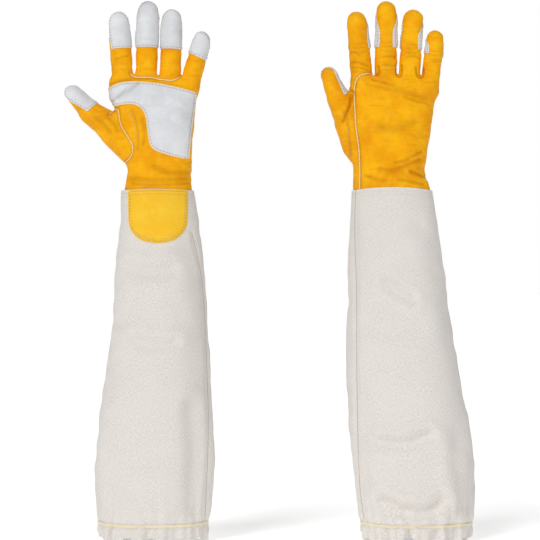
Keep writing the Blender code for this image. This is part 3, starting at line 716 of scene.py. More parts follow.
# %% Canvas, tape, elastic and thread
def canvas(name, main, dark, light, weave, pitch):
    """Woven cotton on the piece's own UV map, whose unit is a metre of cloth."""
    made, shader, add, link = finish(name, main, 0.92, Specular_IOR_Level=0.12, Sheen_Weight=0.25,
                                     Sheen_Roughness=0.6)
    uv = add("ShaderNodeUVMap", uv_map="cloth").outputs[0]
    slub = {}
    for way, scale in (("warp", (2000.0, 400.0, 1.0)), ("weft", (400.0, 2000.0, 1.0))):
        moved = add("ShaderNodeMapping", {"Vector": uv, "Scale": scale}).outputs[0]
        slub[way] = noise(add, moved, 1.0, 2.0)
    threads = maths(add, "MULTIPLY", maths(add, "ADD", slub["warp"], slub["weft"]), 0.5)
    mottled = noise(add, add("ShaderNodeTexCoord").outputs["Object"], 42.0, 5.0, 0.62)
    colour = blend_colours(add, ranged(add, threads, 0.40, 0.60), dark, light)
    specks = add("ShaderNodeMapping", {"Vector": uv, "Scale": (520.0, 900.0, 1.0)}).outputs[0]
    speck = noise(add, specks, 1.0, 4.0)
    colour = blend_colours(add, ranged(add, speck, 0.56, 0.76, 0.0, 0.75), colour, dark)
    colour = blend_colours(add, ranged(add, mottled, 0.35, 0.65, 0.0, 0.40), colour, main)
    link(colour, shader.inputs["Base Color"])
    split = add("ShaderNodeSeparateXYZ", {0: uv}).outputs
    turn = math.tau / pitch
    over = [add("ShaderNodeMath", {0: maths(add, "MULTIPLY", split[i], turn)}, operation="SINE").outputs[0]
            for i in (0, 1)]
    woven = maths(add, "MULTIPLY", maths(add, "MULTIPLY", over[0], over[1]), 0.00010 * weave)
    height = maths(add, "ADD", woven, maths(add, "MULTIPLY", threads, 0.00050 * weave))
    height = maths(add, "ADD", height, maths(add, "MULTIPLY", mottled, 0.0006 * weave))
    bump = add("ShaderNodeBump", {"Height": height, "Strength": 0.8, "Distance": 1.0})
    link(bump.outputs["Normal"], shader.inputs["Normal"])
    return made


CANVAS = canvas("canvas_weave", (0.835, 0.790, 0.745), (0.675, 0.620, 0.565), (0.930, 0.898, 0.862), 1.0,
                0.0009)
TAPE = canvas("tape_weave", (0.900, 0.800, 0.560), (0.850, 0.730, 0.470), (0.940, 0.870, 0.680), 0.7, 0.0007)
ELASTIC = canvas("elastic_weave", (0.780, 0.770, 0.740), (0.700, 0.690, 0.660), (0.840, 0.830, 0.800), 0.9,
                 0.0011)


def thread(name, main, dark, twist):
    made, shader, add, link = finish(name, main, 0.62, Sheen_Weight=0.2)
    where = add("ShaderNodeTexCoord").outputs["Object"]
    wave = add("ShaderNodeTexWave", {"Vector": where, "Scale": twist, "Distortion": 4.0}, wave_type="BANDS",
               bands_direction="DIAGONAL").outputs["Fac"]
    colour = blend_colours(add, wave, dark, main)
    link(colour, shader.inputs["Base Color"])
    bump = add("ShaderNodeBump", {"Height": maths(add, "MULTIPLY", wave, 0.00008), "Distance": 1.0})
    link(bump.outputs["Normal"], shader.inputs["Normal"])
    return made


THREAD = thread("cream_thread", (0.84, 0.66, 0.34), (0.60, 0.38, 0.12), 900.0)
CANVAS_THREAD = thread("canvas_thread", (0.88, 0.80, 0.62), (0.62, 0.52, 0.36), 900.0)
RAW_EDGE = thread("raw_leather_edge", (0.93, 0.79, 0.46), (0.86, 0.62, 0.26), 420.0)
# Painted shade: this dark thread stands for the shadowed stitch holes along the patches and the cuff label.
HOLE_SHADE_THREAD = thread("shaded_thread", (0.34, 0.29, 0.25), (0.20, 0.16, 0.13), 900.0)
# Partly painted shade: the sleeve's felled seam is a real cord, coloured darker than the canvas for the
# shade in its groove.
SHADED_FELLED_THREAD = thread("felled_seam_thread", (0.56, 0.51, 0.46), (0.42, 0.37, 0.33), 500.0)
print("finishes:", [m.name for m in (YELLOW, WHITE, LABEL, CANVAS, TAPE, ELASTIC, THREAD, RAW_EDGE)])

# %% [markdown]
# ## From triangles to a closed piece
# Leather and cloth have a thickness. Every piece is closed: an outer face, an inner face a wall's
# thickness below it, and a rim round its border. The rim's edges are marked sharp, so the cut edge
# reads as cut, and the outer face keeps the normals of the whole hand.

# %% Closed thin pieces
def walled(name, side, skin, faces, outer, inner, material, seamless=False):
    """A closed piece whose faces stand outer and inner proud of the skin, in metres."""
    used, index = np.unique(faces, return_inverse=True)
    faces = index.reshape(-1, 3)
    outer = np.broadcast_to(outer, len(skin))[used]
    inner = np.broadcast_to(inner, len(skin))[used]
    skin = skin[used]
    count = len(skin)
    points = np.vstack([skin[:, :3] + skin[:, 3:6] * outer[:, None],
                        skin[:, :3] + skin[:, 3:6] * inner[:, None]])
    edges = np.vstack([faces[:, [0, 1]], faces[:, [1, 2]], faces[:, [2, 0]]])
    key = np.sort(edges, 1) @ np.array([count, 1])
    _, first, times = np.unique(key, return_index=True, return_counts=True)
    a, b = edges[first[times == 1]].T
    triangles = np.vstack([faces, faces[:, ::-1] + count])
    quads = np.stack([b, a, a + count, b + count], 1)
    normals = np.vstack([skin[:, 3:6], -skin[:, 3:6]])
    if MIRROR[side] < 0:
        points[:, 1] *= -1
        normals[:, 1] *= -1
        triangles, quads = triangles[:, ::-1], quads[:, ::-1]
    mesh = bpy.data.meshes.new(name)
    mesh.from_pydata(points.tolist(), [], triangles.tolist() + quads.tolist())
    mesh.shade_smooth()
    ends = np.zeros(len(mesh.edges) * 2, int)
    mesh.edges.foreach_get("vertices", ends)
    ends = np.sort(ends.reshape(-1, 2), 1)
    rims = np.sort(np.vstack([np.stack([a, b], 1), np.stack([a, b], 1) + count]), 1)
    scale = np.array([2 * count, 1])
    sharp = np.isin(ends @ scale, rims @ scale)
    mesh.attributes.new("sharp_edge", "BOOLEAN", "EDGE").data.foreach_set("value", sharp)
    # The crease value goes on as an attribute that the leather reads as painted shade.
    if skin.shape[1] == 7:
        painted_crease_shade = np.tile(np.clip(skin[:, 6], 0, 1), 2).astype(np.float32)
        mesh.attributes.new("crease", "FLOAT", "POINT").data.foreach_set("value", painted_crease_shade)
    else:
        lay_cloth(mesh, np.tile(skin[:, 6:8], (2, 1)), triangles, quads)
    if seamless:
        corners = np.zeros((len(mesh.loops), 3))
        corners[:triangles.size] = normals[triangles.ravel()]
        flat = np.zeros(len(mesh.polygons) * 3)
        mesh.polygons.foreach_get("normal", flat)
        rim_normals = flat.reshape(-1, 3)[len(triangles):]
        corners[triangles.size:] = np.repeat(rim_normals, 4, axis=0)
        mesh.normals_split_custom_set(corners)
    mesh.materials.append(material)
    made = bpy.data.objects.new(name, mesh)
    bpy.context.scene.collection.objects.link(made)
    return made


def lay_cloth(mesh, uv, triangles, quads):
    """The cloth's own map in metres. A face that closes the ring takes the far side's place."""
    layer = mesh.uv_layers.new(name="cloth")
    stretches = []
    for faces in (triangles, quads):
        at = uv[faces]
        far = np.ptp(at[..., 0], axis=1) > 0.10
        at[..., 0] += np.where(far[:, None] & (at[..., 0] < 0.10), uv[:, 0].max() + 0.002, 0)
        stretches.append(at.reshape(-1, 2))
    layer.data.foreach_set("uv", np.vstack(stretches).astype(np.float32).ravel())


# %% [markdown]
# ## How the pieces are placed
# Pieces of the hand and of the sleeve are parented to an empty for their body. The wrist leather and the
# pieces of each finger and the thumb only have their place baked into their mesh. What is sewn on a part
# uses the same call, so it is placed the same way.


def attach(made, side, zone):
    """Parents a hand or sleeve piece to its body's empty, bakes the placement of any other piece, and
    returns it.
    """
    if zone in ("hand", "sleeve"):
        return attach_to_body(made, f"{side}_{zone}")
    if zone == "wrist":
        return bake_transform(made)
    name, part = zone.split("_")
    if part == "base":
        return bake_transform(made)
    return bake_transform(made)


# %% The yellow leather
SHELL = 0.0012
REPLACED = {"hand": ("palm_panel", "back_panel", "side_panel"), "wrist": ("wrist_leather",)}
for name in LIMBS:
    REPLACED[name + "_base"] = (name + "_base_front", name + "_base_back")
    REPLACED[name + "_tip"] = (name + "_tip_back",)

for side, glove in GLOVES.items():
    for zone, faces in glove["zones"].items():
        made = walled(f"{side}_{zone}_leather", side, glove["skin"], faces, 0.0, -SHELL, YELLOW,
                      seamless=True)
        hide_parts(*[f"{side}_{node}" for node in REPLACED[zone]])
        attach(made, side, zone)

# %% [markdown]
# ## White patches
# A patch is cut from thinner leather and laid on the glove. Its outline is a value on the skin that
# is negative inside, so the cut is exact, and its edge is pulled down by the stitches beside it.

# %% Outlines of the patches
PATCH = 0.0010
EDGE = 0.0012         # how far in from its edge a patch reaches its full thickness
ROW_INSET = 0.0017    # stitches lie this far inside a patch's edge
ROW_SINK = 0.00012    # and this far below its face
CUFF_ROW_SINK = 0.00008
SEAM_TILT = {"index": 0.0, "middle": 0.0, "ring": 0.0, "little": 0.16}
SIDE_WRAP = {"index": (-0.35, 0.62), "middle": (0.74, 0.74), "ring": (0.00, 0.94), "little": (0.92, 0.00)}


def tip_outline(skin, glove, name):
    """Negative inside a finger's tip patch, which wraps round the sides but not over the end."""
    f = glove[name]
    offset = skin[:, :3] - f["seam"]
    along = offset @ f["along"]
    across = offset @ crosswise(f["along"])
    reach = np.linalg.norm(f["end"] - f["seam"])
    share = np.clip(across / SEAM_RADIUS[name], -1, 1) * 0.5 + 0.5
    wrap = SIDE_WRAP[name][0] * (1 - share) + SIDE_WRAP[name][1] * share
    wrap = wrap * (1 - smooth((along - reach * 0.42) / (reach * 0.62)))
    wrap = wrap - 0.36 * smooth((along - reach * 0.70) / (reach * 0.45))
    start = 0.0006 - along - across * SEAM_TILT[name]
    outline = np.maximum(start, skin[:, 1] - SEAM_RADIUS[name] * wrap)
    if name == "index":
        outline = np.maximum(outline, -0.0088 - 0.10 * along - across)
    return outline


def thumb_outline(skin, glove):
    """Negative inside the thumb's patch, on the side that meets the index finger."""
    t = glove["thumb"]
    offset = skin[:, :3] - t["seam"]
    along = offset @ t["along"]
    across = offset @ crosswise(t["along"])
    reach = np.linalg.norm(t["end"] - t["seam"]) + END_RADIUS["thumb"]
    front = -0.002 - (along - 0.002) / reach * 0.0095
    border = front + (0.0070 - front) * smooth(0.5 + skin[:, 1] / 0.009)
    return np.maximum(0.0010 - along, border - across)


def overlay(name, side, zone, skin, faces, outline, material, slot, *nodes):
    """A patch that stands proud of the skin, with its edge pulled down."""
    skin_cut, inside, _ = cut(np.hstack([skin, outline[:, None]]), faces, outline)
    depth = -skin_cut[:, -1]
    proud = PATCH * (0.60 + 0.40 * smooth(depth / EDGE))
    row_dip = 0.00022 * np.exp(-((depth - ROW_INSET) / 0.0007) ** 2)
    made = walled(name, side, skin_cut[:, :-1], inside, proud - row_dip, 0.00005, material)
    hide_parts(*[f"{side}_{node}" for node in nodes])
    attach(made, side, zone)
    return made


# %% [markdown]
# ## Lines for the thread
# A row of stitches keeps a fixed distance from an edge, so it is the line on the skin where the
# outline's value is that distance. Rows that follow a drawn seam are found by shooting rays at the
# glove. Each line is kept with the zone it lies on, so that its thread is attached the same way as that
# zone.

# %% Level lines and drawn lines
def level_lines(skin, faces, value):
    """The lines on the skin where a value is zero: rows of points with normals."""
    value = np.where(np.abs(value) < 1e-7, 1e-7, value)
    at = value[faces]
    links = {}
    for face in faces[(at.min(1) < 0) & (at.max(1) > 0)].tolist():
        a, b = [(min(p, q), max(p, q)) for p, q in zip(face, face[1:] + face[:1])
                if value[p] * value[q] < 0]
        links.setdefault(a, []).append(b)
        links.setdefault(b, []).append(a)
    lines, seen = [], set()
    for start in sorted(links, key=lambda edge: (len(links[edge]), edge)):
        if start in seen:
            continue
        path = [start]
        seen.add(start)
        while True:
            ahead = [edge for edge in links[path[-1]] if edge not in seen]
            if not ahead:
                break
            path.append(ahead[0])
            seen.add(ahead[0])
        if len(path) > 4:
            if path[0] in links[path[-1]]:
                path.append(path[0])
            p, q = np.array(path).T
            t = (value[p] / (value[p] - value[q]))[:, None]
            lines.append((skin[p] * (1 - t) + skin[q] * t)[:, :6])
    return lines


def smoothed(line, rounds=2):
    """Evens out a line whose points lie unevenly, keeping its ends."""
    line = np.array(line)
    for _ in range(rounds):
        line[1:-1] = line[:-2] * 0.25 + line[1:-1] * 0.5 + line[2:] * 0.25
    return line


THREADS = {}


def sew(side, zone, kind, line, lift):
    """Remembers a line of thread, lifted off the skin by its normal."""
    line = smoothed(line)
    THREADS.setdefault((side, zone, kind), []).append(line[:, :3] + line[:, 3:6] * lift)


def drawn_rows(side, line, facing, kind, lift, on="leather", spacing=0.001):
    """A drawn seam, laid on the glove's front (-1) or back (1), and sewn zone by zone."""
    glove = GLOVES[side]
    steps = np.hypot(*np.diff(line, axis=0).T)
    run = np.concatenate([[0], np.cumsum(steps)])
    at = np.arange(0, run[-1], spacing)
    x, z = np.interp(at, run, line[:, 0]), np.interp(at, run, line[:, 1])
    current, points = None, []
    for px, pz in zip(x, z):
        tree, tree_zone = glove[on + "_tree"]
        hit, normal, face, _ = tree.ray_cast(Vector((px, 0.2 * facing, pz)), Vector((0, -facing, 0)))
        zone = None if hit is None else tree_zone[face]
        if zone != current and points:
            if len(points) > 3:
                sew(side, current, kind, np.array(points), lift)
            points = [points[-1]] if zone else []
        if zone:
            points.append([*hit, *normal])
        current = zone
    if len(points) > 3:
        sew(side, current, kind, np.array(points), lift)


for side, glove in GLOVES.items():
    zone_names = list(glove["zones"])
    every = np.vstack([glove["zones"][z] for z in zone_names])
    tree_zone = [z for z in zone_names for _ in range(len(glove["zones"][z]))]
    glove["leather_tree"] = (BVHTree.FromPolygons(glove["skin"][:, :3].tolist(), every.tolist()), tree_zone)

# %% Sew the patches on
# Each row: its line, the hand it is drawn for, the kind of thread, and how far off the skin it lies.
DRAWN_ROWS = (
    (THUMB_SEAM, "left", "edge", 0.0),
    (THUMB_SECOND_ROW, "left", "stitch", 0.0001),
    (THUMB_THIRD_ROW, "left", "stitch", 0.0001),
    (FINGER_BASE_SEAM, "left", "edge", 0.0),
    (BACK_SEAM, "right", "edge", 0.00025),
    (BACK_THUMB_SEAM, "right", "stitch", 0.0001),
)


def patch_with_rows(name, side, zone, faces, outline, *nodes):
    skin = GLOVES[side]["skin"]
    overlay(name, side, zone, skin, faces, outline, WHITE, "white_leather", *nodes)
    for line in level_lines(skin, faces, outline + ROW_INSET):
        # Painted shade: the rows along each patch use the dark thread that stands for shadowed stitch holes.
        sew(side, zone, "dark", line, PATCH - ROW_SINK)


for side, glove in GLOVES.items():
    skin, zones = glove["skin"], glove["zones"]
    outline = inside_outline(skin, on_glove(PALM_PATCH, side, "left", closed=True))
    outline = np.maximum(outline, skin[:, 1] + 0.0015)
    patch_with_rows(side + "_palm_patch_white", side, "hand", zones["hand"], outline, "palm_patch")
    for line in level_lines(skin, zones["hand"], outline + 0.00005):
        sew(side, "hand", "edge", line, 0.00045)
    for name in FINGERS:
        finger_faces = np.vstack([zones[name + "_base"], zones[name + "_tip"]])
        patch_with_rows(f"{side}_{name}_tip_white", side, name + "_tip", finger_faces,
                        tip_outline(skin, glove, name), name + "_tip_patch")
    thumb_faces = np.vstack([zones["thumb_base"], zones["thumb_tip"]])
    patch_with_rows(side + "_thumb_tip_white", side, "thumb_tip", thumb_faces,
                    thumb_outline(skin, glove), "thumb_tip_patch")
    for line, drawn_for, kind, lift in DRAWN_ROWS:
        facing = -1 if drawn_for == "left" else 1
        drawn_rows(side, on_glove(line, side, drawn_for), facing, kind, lift)
print("thread lines on the leather:", sum(len(v) for v in THREADS.values()))

# %% [markdown]
# ## The canvas sleeve
# The sleeve is a cone of canvas, gathered at the hem by elastic, so below the tape it makes a short
# ruffle. Its outline is given by where its two sides are at a few heights, and the depth follows
# the solid model. The soft folds come where the cloth is pushed down: shallow dents along a curve.

# %% Sleeve outline and folds
SLEEVE_HEIGHTS = (0.000, 0.015, 0.055, 0.105, 0.155, 0.220, 0.290, 0.335, 0.384)
SLEEVE_SIDES = {
    "left": ((-0.1872, -0.1881, -0.1920, -0.1900, -0.1849, -0.1752, -0.1705, -0.1664, -0.1638),
             (-0.0700, -0.0690, -0.0630, -0.0614, -0.0636, -0.0668, -0.0718, -0.0756, -0.0836)),
    "right": ((0.1030, 0.1012, 0.0947, 0.0883, 0.0847, 0.0835, 0.0857, 0.0878, 0.0897),
              (0.2200, 0.2215, 0.2252, 0.2220, 0.2131, 0.2020, 0.1918, 0.1858, 0.1785)),
}
# Each fold is a line of x and z, how deep it is, how wide, and the face that shows it.
FOLDS = {
    "left": (([(-0.150, 0.300), (-0.128, 0.293), (-0.108, 0.297)], 0.0032, 0.008, -1),
             ([(-0.086, 0.150), (-0.080, 0.090), (-0.084, 0.040)], 0.0030, 0.009, -1),
             ([(-0.178, 0.090), (-0.168, 0.060), (-0.170, 0.034)], 0.0022, 0.009, -1),
             ([(-0.150, 0.060), (-0.140, 0.042), (-0.142, 0.030)], 0.0016, 0.007, -1),
             ([(-0.146, 0.222), (-0.126, 0.214), (-0.104, 0.219)], 0.0034, 0.0065, -1),
             ([(-0.165, 0.240), (-0.150, 0.250), (-0.138, 0.262)], 0.0014, 0.008, -1),
             ([(-0.160, 0.130), (-0.130, 0.118), (-0.100, 0.124)], 0.0018, 0.014, 1)),
    "right": (([(0.119, 0.112), (0.143, 0.109), (0.171, 0.119)], 0.0050, 0.0065, 1),
              ([(0.124, 0.046), (0.140, 0.036), (0.170, 0.036), (0.186, 0.048)], 0.0062, 0.0085, 1),
              ([(0.128, 0.284), (0.138, 0.274), (0.152, 0.267)], 0.0040, 0.0060, 1),
              ([(0.116, 0.328), (0.138, 0.350), (0.160, 0.348)], 0.0030, 0.009, 1),
              ([(0.205, 0.120), (0.203, 0.085), (0.211, 0.040)], 0.0026, 0.009, 1),
              ([(0.104, 0.130), (0.101, 0.080), (0.110, 0.036)], 0.0020, 0.008, 1),
              ([(0.110, 0.236), (0.135, 0.228), (0.160, 0.232)], 0.0016, 0.010, 1),
              ([(0.110, 0.150), (0.150, 0.135), (0.190, 0.145)], 0.0022, 0.015, -1)),
}
# The long seam of each sleeve, and the face it is on: -1 is the palm side, 1 is the back.
SIDE_SEAM = {
    "left": [(-0.0856, 0.3380), (-0.0732, 0.2860), (-0.0691, 0.1900), (-0.0666, 0.1200), (-0.0712, 0.0240)],
    "right": [(0.0940, 0.3845), (0.0922, 0.3400), (0.0948, 0.2750), (0.0941, 0.1900), (0.0970, 0.0650),
              (0.1029, 0.0240)],
}
SEAM_FACE = {"left": -1, "right": 1}
GATHER_Z = 0.0200     # middle of the elastic
GATHER = 0.0024       # how high the gathers stand
SEAM_DEPTH, SEAM_WIDTH = 0.0014, 0.0026
RIM_ARCH = {"left": 0.0012, "right": 0.0030}
MAP_ROUND = 0.360     # metres of cloth round the sleeve, on its map
CANVAS_WALL = 0.0009
AROUND, UP = 200, 190


def cubic(at, heights, values):
    """A smooth curve through values at heights (Catmull-Rom)."""
    heights, values = np.array(heights), np.array(values)
    slope = np.gradient(values, heights)
    k = np.clip(np.searchsorted(heights, at) - 1, 0, len(heights) - 2)
    span = heights[k + 1] - heights[k]
    t = (at - heights[k]) / span
    return ((2 * t ** 3 - 3 * t ** 2 + 1) * values[k] + (t ** 3 - 2 * t ** 2 + t) * span * slope[k]
            + (3 * t ** 2 - 2 * t ** 3) * values[k + 1] + (t ** 3 - t ** 2) * span * slope[k + 1])


def sleeve_depth(side, z):
    """Half depth of the solid sleeve at each height."""
    places = np.array([v.co for v in frame["nodes"][side + "_sleeve"].data.vertices])
    heights = np.unique(places[:, 2].round(4))
    deepest = [places[np.abs(places[:, 2] - h) < 0.0004, 1].max() for h in heights]
    return np.interp(z, heights, deepest)


def ripple(angle, seed, lowest, highest):
    """An uneven wave round the sleeve, between about -1 and 1, that closes on itself."""
    rng = np.random.default_rng(seed)
    total = np.zeros_like(angle)
    for _ in range(9):
        total += np.sin(angle * rng.integers(lowest, highest) + rng.uniform(0, math.tau))
    return total / 4.2


def sleeve_points(side, angle, z):
    """Points of the gathered sleeve, with the palm towards -Y."""
    left, right = (cubic(z, SLEEVE_HEIGHTS, row) for row in SLEEVE_SIDES[side])
    half_x, half_y = (right - left) / 2, sleeve_depth(side, z)
    above = np.maximum(z - GATHER_Z, 0)
    below = np.maximum(GATHER_Z - z, 0) / GATHER_Z
    pinch = np.exp(-((z - GATHER_Z) / 0.0045) ** 2)
    gather = ripple(angle, 11, 13, 34)
    sharp = np.sign(gather) * np.abs(gather) ** 0.8
    grow = sharp * GATHER * np.exp(-above / 0.017) * (1 - 0.55 * pinch)
    grow += sharp * GATHER * below + ripple(angle, 4, 5, 11) * 0.0016 * below
    grow += ripple(angle, 23, 3, 8) * 0.0012 * smooth(above / 0.05) * smooth((0.384 - z) / 0.12)
    grow -= 0.0016 * pinch
    half_x, half_y = half_x + grow, half_y + grow
    x = (left + right) / 2 + np.cos(angle) * half_x
    y = np.sin(angle) * half_y
    return np.stack([x, y, z], -1)


def rim_height(side, points):
    """How high the sleeve's upper edge is above each point: it arches over the front and the back."""
    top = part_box(side + "_sleeve")[1].z
    left, right = SLEEVE_SIDES[side][0][-1], SLEEVE_SIDES[side][1][-1]
    across = np.clip((points[:, 0] * 2 - left - right) / (right - left), -1, 1)
    return top + RIM_ARCH[side] * (1 - across ** 2)


def dent(side, skin):
    """Presses the folds and the long seam into the cloth, and gives it soft lumps."""
    below_rim = smooth((0.388 - skin[:, 2]) / 0.045)
    for line, depth, width, facing in FOLDS[side]:
        d, _ = line_distance(skin, soften(line))
        shown = smooth(skin[:, 4] * facing * 2.2 + 0.4)
        pressed = np.exp(-(d / width) ** 2) - 0.40 * np.exp(-((d - width * 1.7) / width) ** 2)
        skin[:, :3] -= skin[:, 3:6] * (depth * pressed * shown * below_rim)[:, None]
    d, _ = line_distance(skin, soften(SIDE_SEAM[side]))
    shown = smooth(skin[:, 4] * SEAM_FACE[side] * 2.2 + 0.4) * below_rim
    skin[:, :3] -= skin[:, 3:6] * (SEAM_DEPTH * np.exp(-(d / SEAM_WIDTH) ** 2) * shown)[:, None]
    lumps = sum(height * waviness(skin[:, :3], scale, seed) for height, scale, seed in CLOTH_LUMPS)
    skin[:, :3] += skin[:, 3:6] * (lumps * below_rim)[:, None]


def ring_grid(rows):
    """A ring of squares: each point's angle, its share of the height, and the triangles."""
    angle = np.arange(AROUND) / AROUND * math.tau
    share = np.linspace(0, 1, rows + 1)
    angle, share = (g.ravel() for g in np.meshgrid(angle, share, indexing="xy"))
    start = np.arange(AROUND * rows)
    ahead = start - start % AROUND + (start + 1) % AROUND
    faces = np.vstack([np.stack([start, ahead, ahead + AROUND], 1),
                       np.stack([start, ahead + AROUND, start + AROUND], 1)])
    return angle, share, faces


def cloth_skin(side, angle, z, faces):
    """Rows of place, normal and cloth map, with the folds pressed in."""
    skin = np.zeros((len(z), 8))
    skin[:, :3] = sleeve_points(side, angle, z)
    skin[:, 6], skin[:, 7] = angle / math.tau * MAP_ROUND, z
    skin = with_normals(skin, faces)
    dent(side, skin)
    return with_normals(skin, faces)


def sleeve_skin(side):
    """The sleeve from its uneven hem up to its arched rim, and its triangles."""
    angle, share, faces = ring_grid(UP)
    hem = 0.0042 + 0.0042 * ripple(angle, 31, 4, 19)
    left, right = SLEEVE_SIDES[side][0][-1], SLEEVE_SIDES[side][1][-1]
    rim = rim_height(side, np.stack([(left + right) / 2 + np.cos(angle) * (right - left) / 2], 1))
    z = np.clip(hem, 0.0004, 0.0100) * (1 - share) + rim * share
    return cloth_skin(side, angle, z, faces), faces


for side, glove in GLOVES.items():
    glove["cloth"], glove["cloth_faces"] = sleeve_skin(side)
    cloth, cloth_faces = glove["cloth"], glove["cloth_faces"]
    made = walled(side + "_sleeve_canvas", side, cloth, cloth_faces, 0.0, -CANVAS_WALL, CANVAS)
    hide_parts(side + "_sleeve")
    attach(made, side, "sleeve")

# %% [markdown]
# ## Tape, elastic and the leather patch on the cuff
# The tape lies over the gathers, and it follows them, so it is made with the same function as the
# sleeve, a little further out. The patch on the cuff has straight sides and a round lower end.

# %% Bands round the hem, and the cuff patch
ELASTIC_AT = (0.0185, 0.0215)     # lower and upper edge
TAPE_AT = (0.0182, 0.0218)
BAND_ROWS = 4
CUFF_ROW_DROPS = (0.0042, 0.0078)     # rows of stitches below the sleeve's rim


def band(name, side, edges, out, wall, material, node):
    angle, share, faces = ring_grid(BAND_ROWS)
    z = edges[0] + (edges[1] - edges[0]) * share
    skin = cloth_skin(side, angle, z, faces)
    made = walled(name, side, skin, faces, out, out - wall, material)
    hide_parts(f"{side}_{node}")
    return attach(made, side, "sleeve")


CUFF_PATCH = {side: [(x + GLOVES[side]["cuff_x"], z + GLOVES[side]["cuff_z"]) for x, z in
                     [(-0.0320, 0.0300), (-0.0320, -0.0300), (-0.0300, -0.0440), (-0.0180, -0.0560),
                      (0.0020, -0.0590), (0.0200, -0.0555), (0.0315, -0.0430), (0.0330, -0.0280),
                      (0.0325, 0.0300)]] for side in GLOVES}

for side, glove in GLOVES.items():
    band(side + "_elastic_band", side, ELASTIC_AT, 0.0004, 0.0003, ELASTIC, "hem_elastic")
    band(side + "_tape_band", side, TAPE_AT, 0.0010, 0.0006, TAPE, "hem_tape")
    cloth, faces = glove["cloth"], glove["cloth_faces"]
    line = np.array(CUFF_PATCH[side])
    outline = np.maximum(inside_outline(cloth, soften(line, 2, True)), cloth[:, 1] + 0.001)
    top = rim_height(side, cloth) - 0.0006
    outline = np.maximum(outline, cloth[:, 2] - top)
    leather_skin = np.hstack([cloth[:, :6], np.zeros((len(cloth), 1))])
    overlay(side + "_cuff_patch_leather", side, "sleeve", leather_skin, faces, outline, LABEL,
            "yellow_leather", "label_patch")
    # Painted shade: the label's rows use the dark thread that stands for shadowed stitch holes.
    for row in level_lines(cloth, faces, outline + ROW_INSET):
        sew(side, "sleeve", "dark", row, PATCH - CUFF_ROW_SINK)
    for row in level_lines(cloth, faces, np.where(outline < -0.003, cloth[:, 2] - top + 0.0052, 1.0)):
        sew(side, "sleeve", "dark", row, PATCH - CUFF_ROW_SINK)
    bare = faces[(outline[faces] > 0.0008).all(1)]
    tree = BVHTree.FromPolygons(cloth[:, :3].tolist(), bare.tolist())
    glove["canvas_tree"] = (tree, ["sleeve"] * len(bare))
    # The long seam's cord is darker than the canvas: painted shade of its groove.
    drawn_rows(side, soften(SIDE_SEAM[side]), SEAM_FACE[side], "felled", -0.0002, on="canvas")
    for drop in CUFF_ROW_DROPS:
        for row in level_lines(cloth, bare, cloth[:, 2] - rim_height(side, cloth) + drop):
            sew(side, "sleeve", "canvas", row, 0.0001)
print("thread lines in all:", sum(len(v) for v in THREADS.values()))

# %% [markdown]
# ## Thread and raw edges with Geometry Nodes
# Thousands of stitches are too many to place by hand. One tree turns a line into a curve, samples
# it at the stitch's pitch, and puts one small rounded stitch on each point, turned along the line.
# A second tree turns a line into a thin round cord, for the raw leather edge that stands in a seam.

# %% Trees for stitches and cords
def new_tree(name, sizes):
    """A tree with a mesh in, a mesh out, a material and named sizes in metres."""
    tree = bpy.data.node_groups.new(name, "GeometryNodeTree")
    tree.interface.new_socket("Line", in_out="INPUT", socket_type="NodeSocketGeometry")
    for size, value in sizes.items():
        tree.interface.new_socket(size, in_out="INPUT", socket_type="NodeSocketFloat").default_value = value
    tree.interface.new_socket("Finish", in_out="INPUT", socket_type="NodeSocketMaterial")
    tree.interface.new_socket("Made", in_out="OUTPUT", socket_type="NodeSocketGeometry")
    add = node_adder(tree)
    return tree, add, add("NodeGroupInput").outputs


def close_tree(tree, add, geometry, entry):
    whole = add("GeometryNodeRealizeInstances", {0: geometry}).outputs[0]
    soft = add("GeometryNodeSetShadeSmooth", {0: whole}).outputs[0]
    painted = add("GeometryNodeSetMaterial", {"Geometry": soft, "Material": entry["Finish"]}).outputs[0]
    tree.links.new(painted, add("NodeGroupOutput").inputs[0])
    return tree


def stitch_tree():
    tree, add, entry = new_tree("stitches", {"Length": 0.0024, "Pitch": 0.0034, "Thickness": 0.0005})
    curve = add("GeometryNodeMeshToCurve", {0: entry["Line"]}).outputs[0]
    spaced = add("GeometryNodeResampleCurve", {0: curve, "Length": entry["Pitch"]}, mode="LENGTH")
    tangent = add("GeometryNodeInputTangent").outputs[0]
    turned = add("FunctionNodeAlignRotationToVector", {"Vector": tangent}, axis="Z").outputs[0]
    grain = add("GeometryNodeMeshUVSphere", {"Segments": 6, "Rings": 5, "Radius": 0.5}).outputs[0]
    size = add("ShaderNodeCombineXYZ", {0: entry["Thickness"], 1: entry["Thickness"], 2: entry["Length"]})
    stitch = add("GeometryNodeTransform", {"Geometry": grain, "Scale": size.outputs[0]}).outputs[0]
    placed = add("GeometryNodeInstanceOnPoints", {"Points": spaced.outputs[0], "Instance": stitch,
                                                  "Rotation": turned}).outputs[0]
    return close_tree(tree, add, placed, entry)


def cord_tree():
    tree, add, entry = new_tree("raw_edge_cord", {"Spacing": 0.0015, "Thickness": 0.0010})
    curve = add("GeometryNodeMeshToCurve", {0: entry["Line"]}).outputs[0]
    spaced = add("GeometryNodeResampleCurve", {0: curve, "Length": entry["Spacing"]}, mode="LENGTH")
    half = maths(add, "MULTIPLY", entry["Thickness"], 0.5)
    ring = add("GeometryNodeCurvePrimitiveCircle", {"Resolution": 7, "Radius": half}).outputs[0]
    made = add("GeometryNodeCurveToMesh", {"Curve": spaced.outputs[0], "Profile Curve": ring,
                                           "Fill Caps": True}).outputs[0]
    return close_tree(tree, add, made, entry)


STITCHES, CORD = stitch_tree(), cord_tree()


def stitched(length, pitch, thickness, material, word):
    return STITCHES, {"Length": length, "Pitch": pitch, "Thickness": thickness}, material, word


def corded(spacing, thickness, material, word):
    return CORD, {"Spacing": spacing, "Thickness": thickness}, material, word


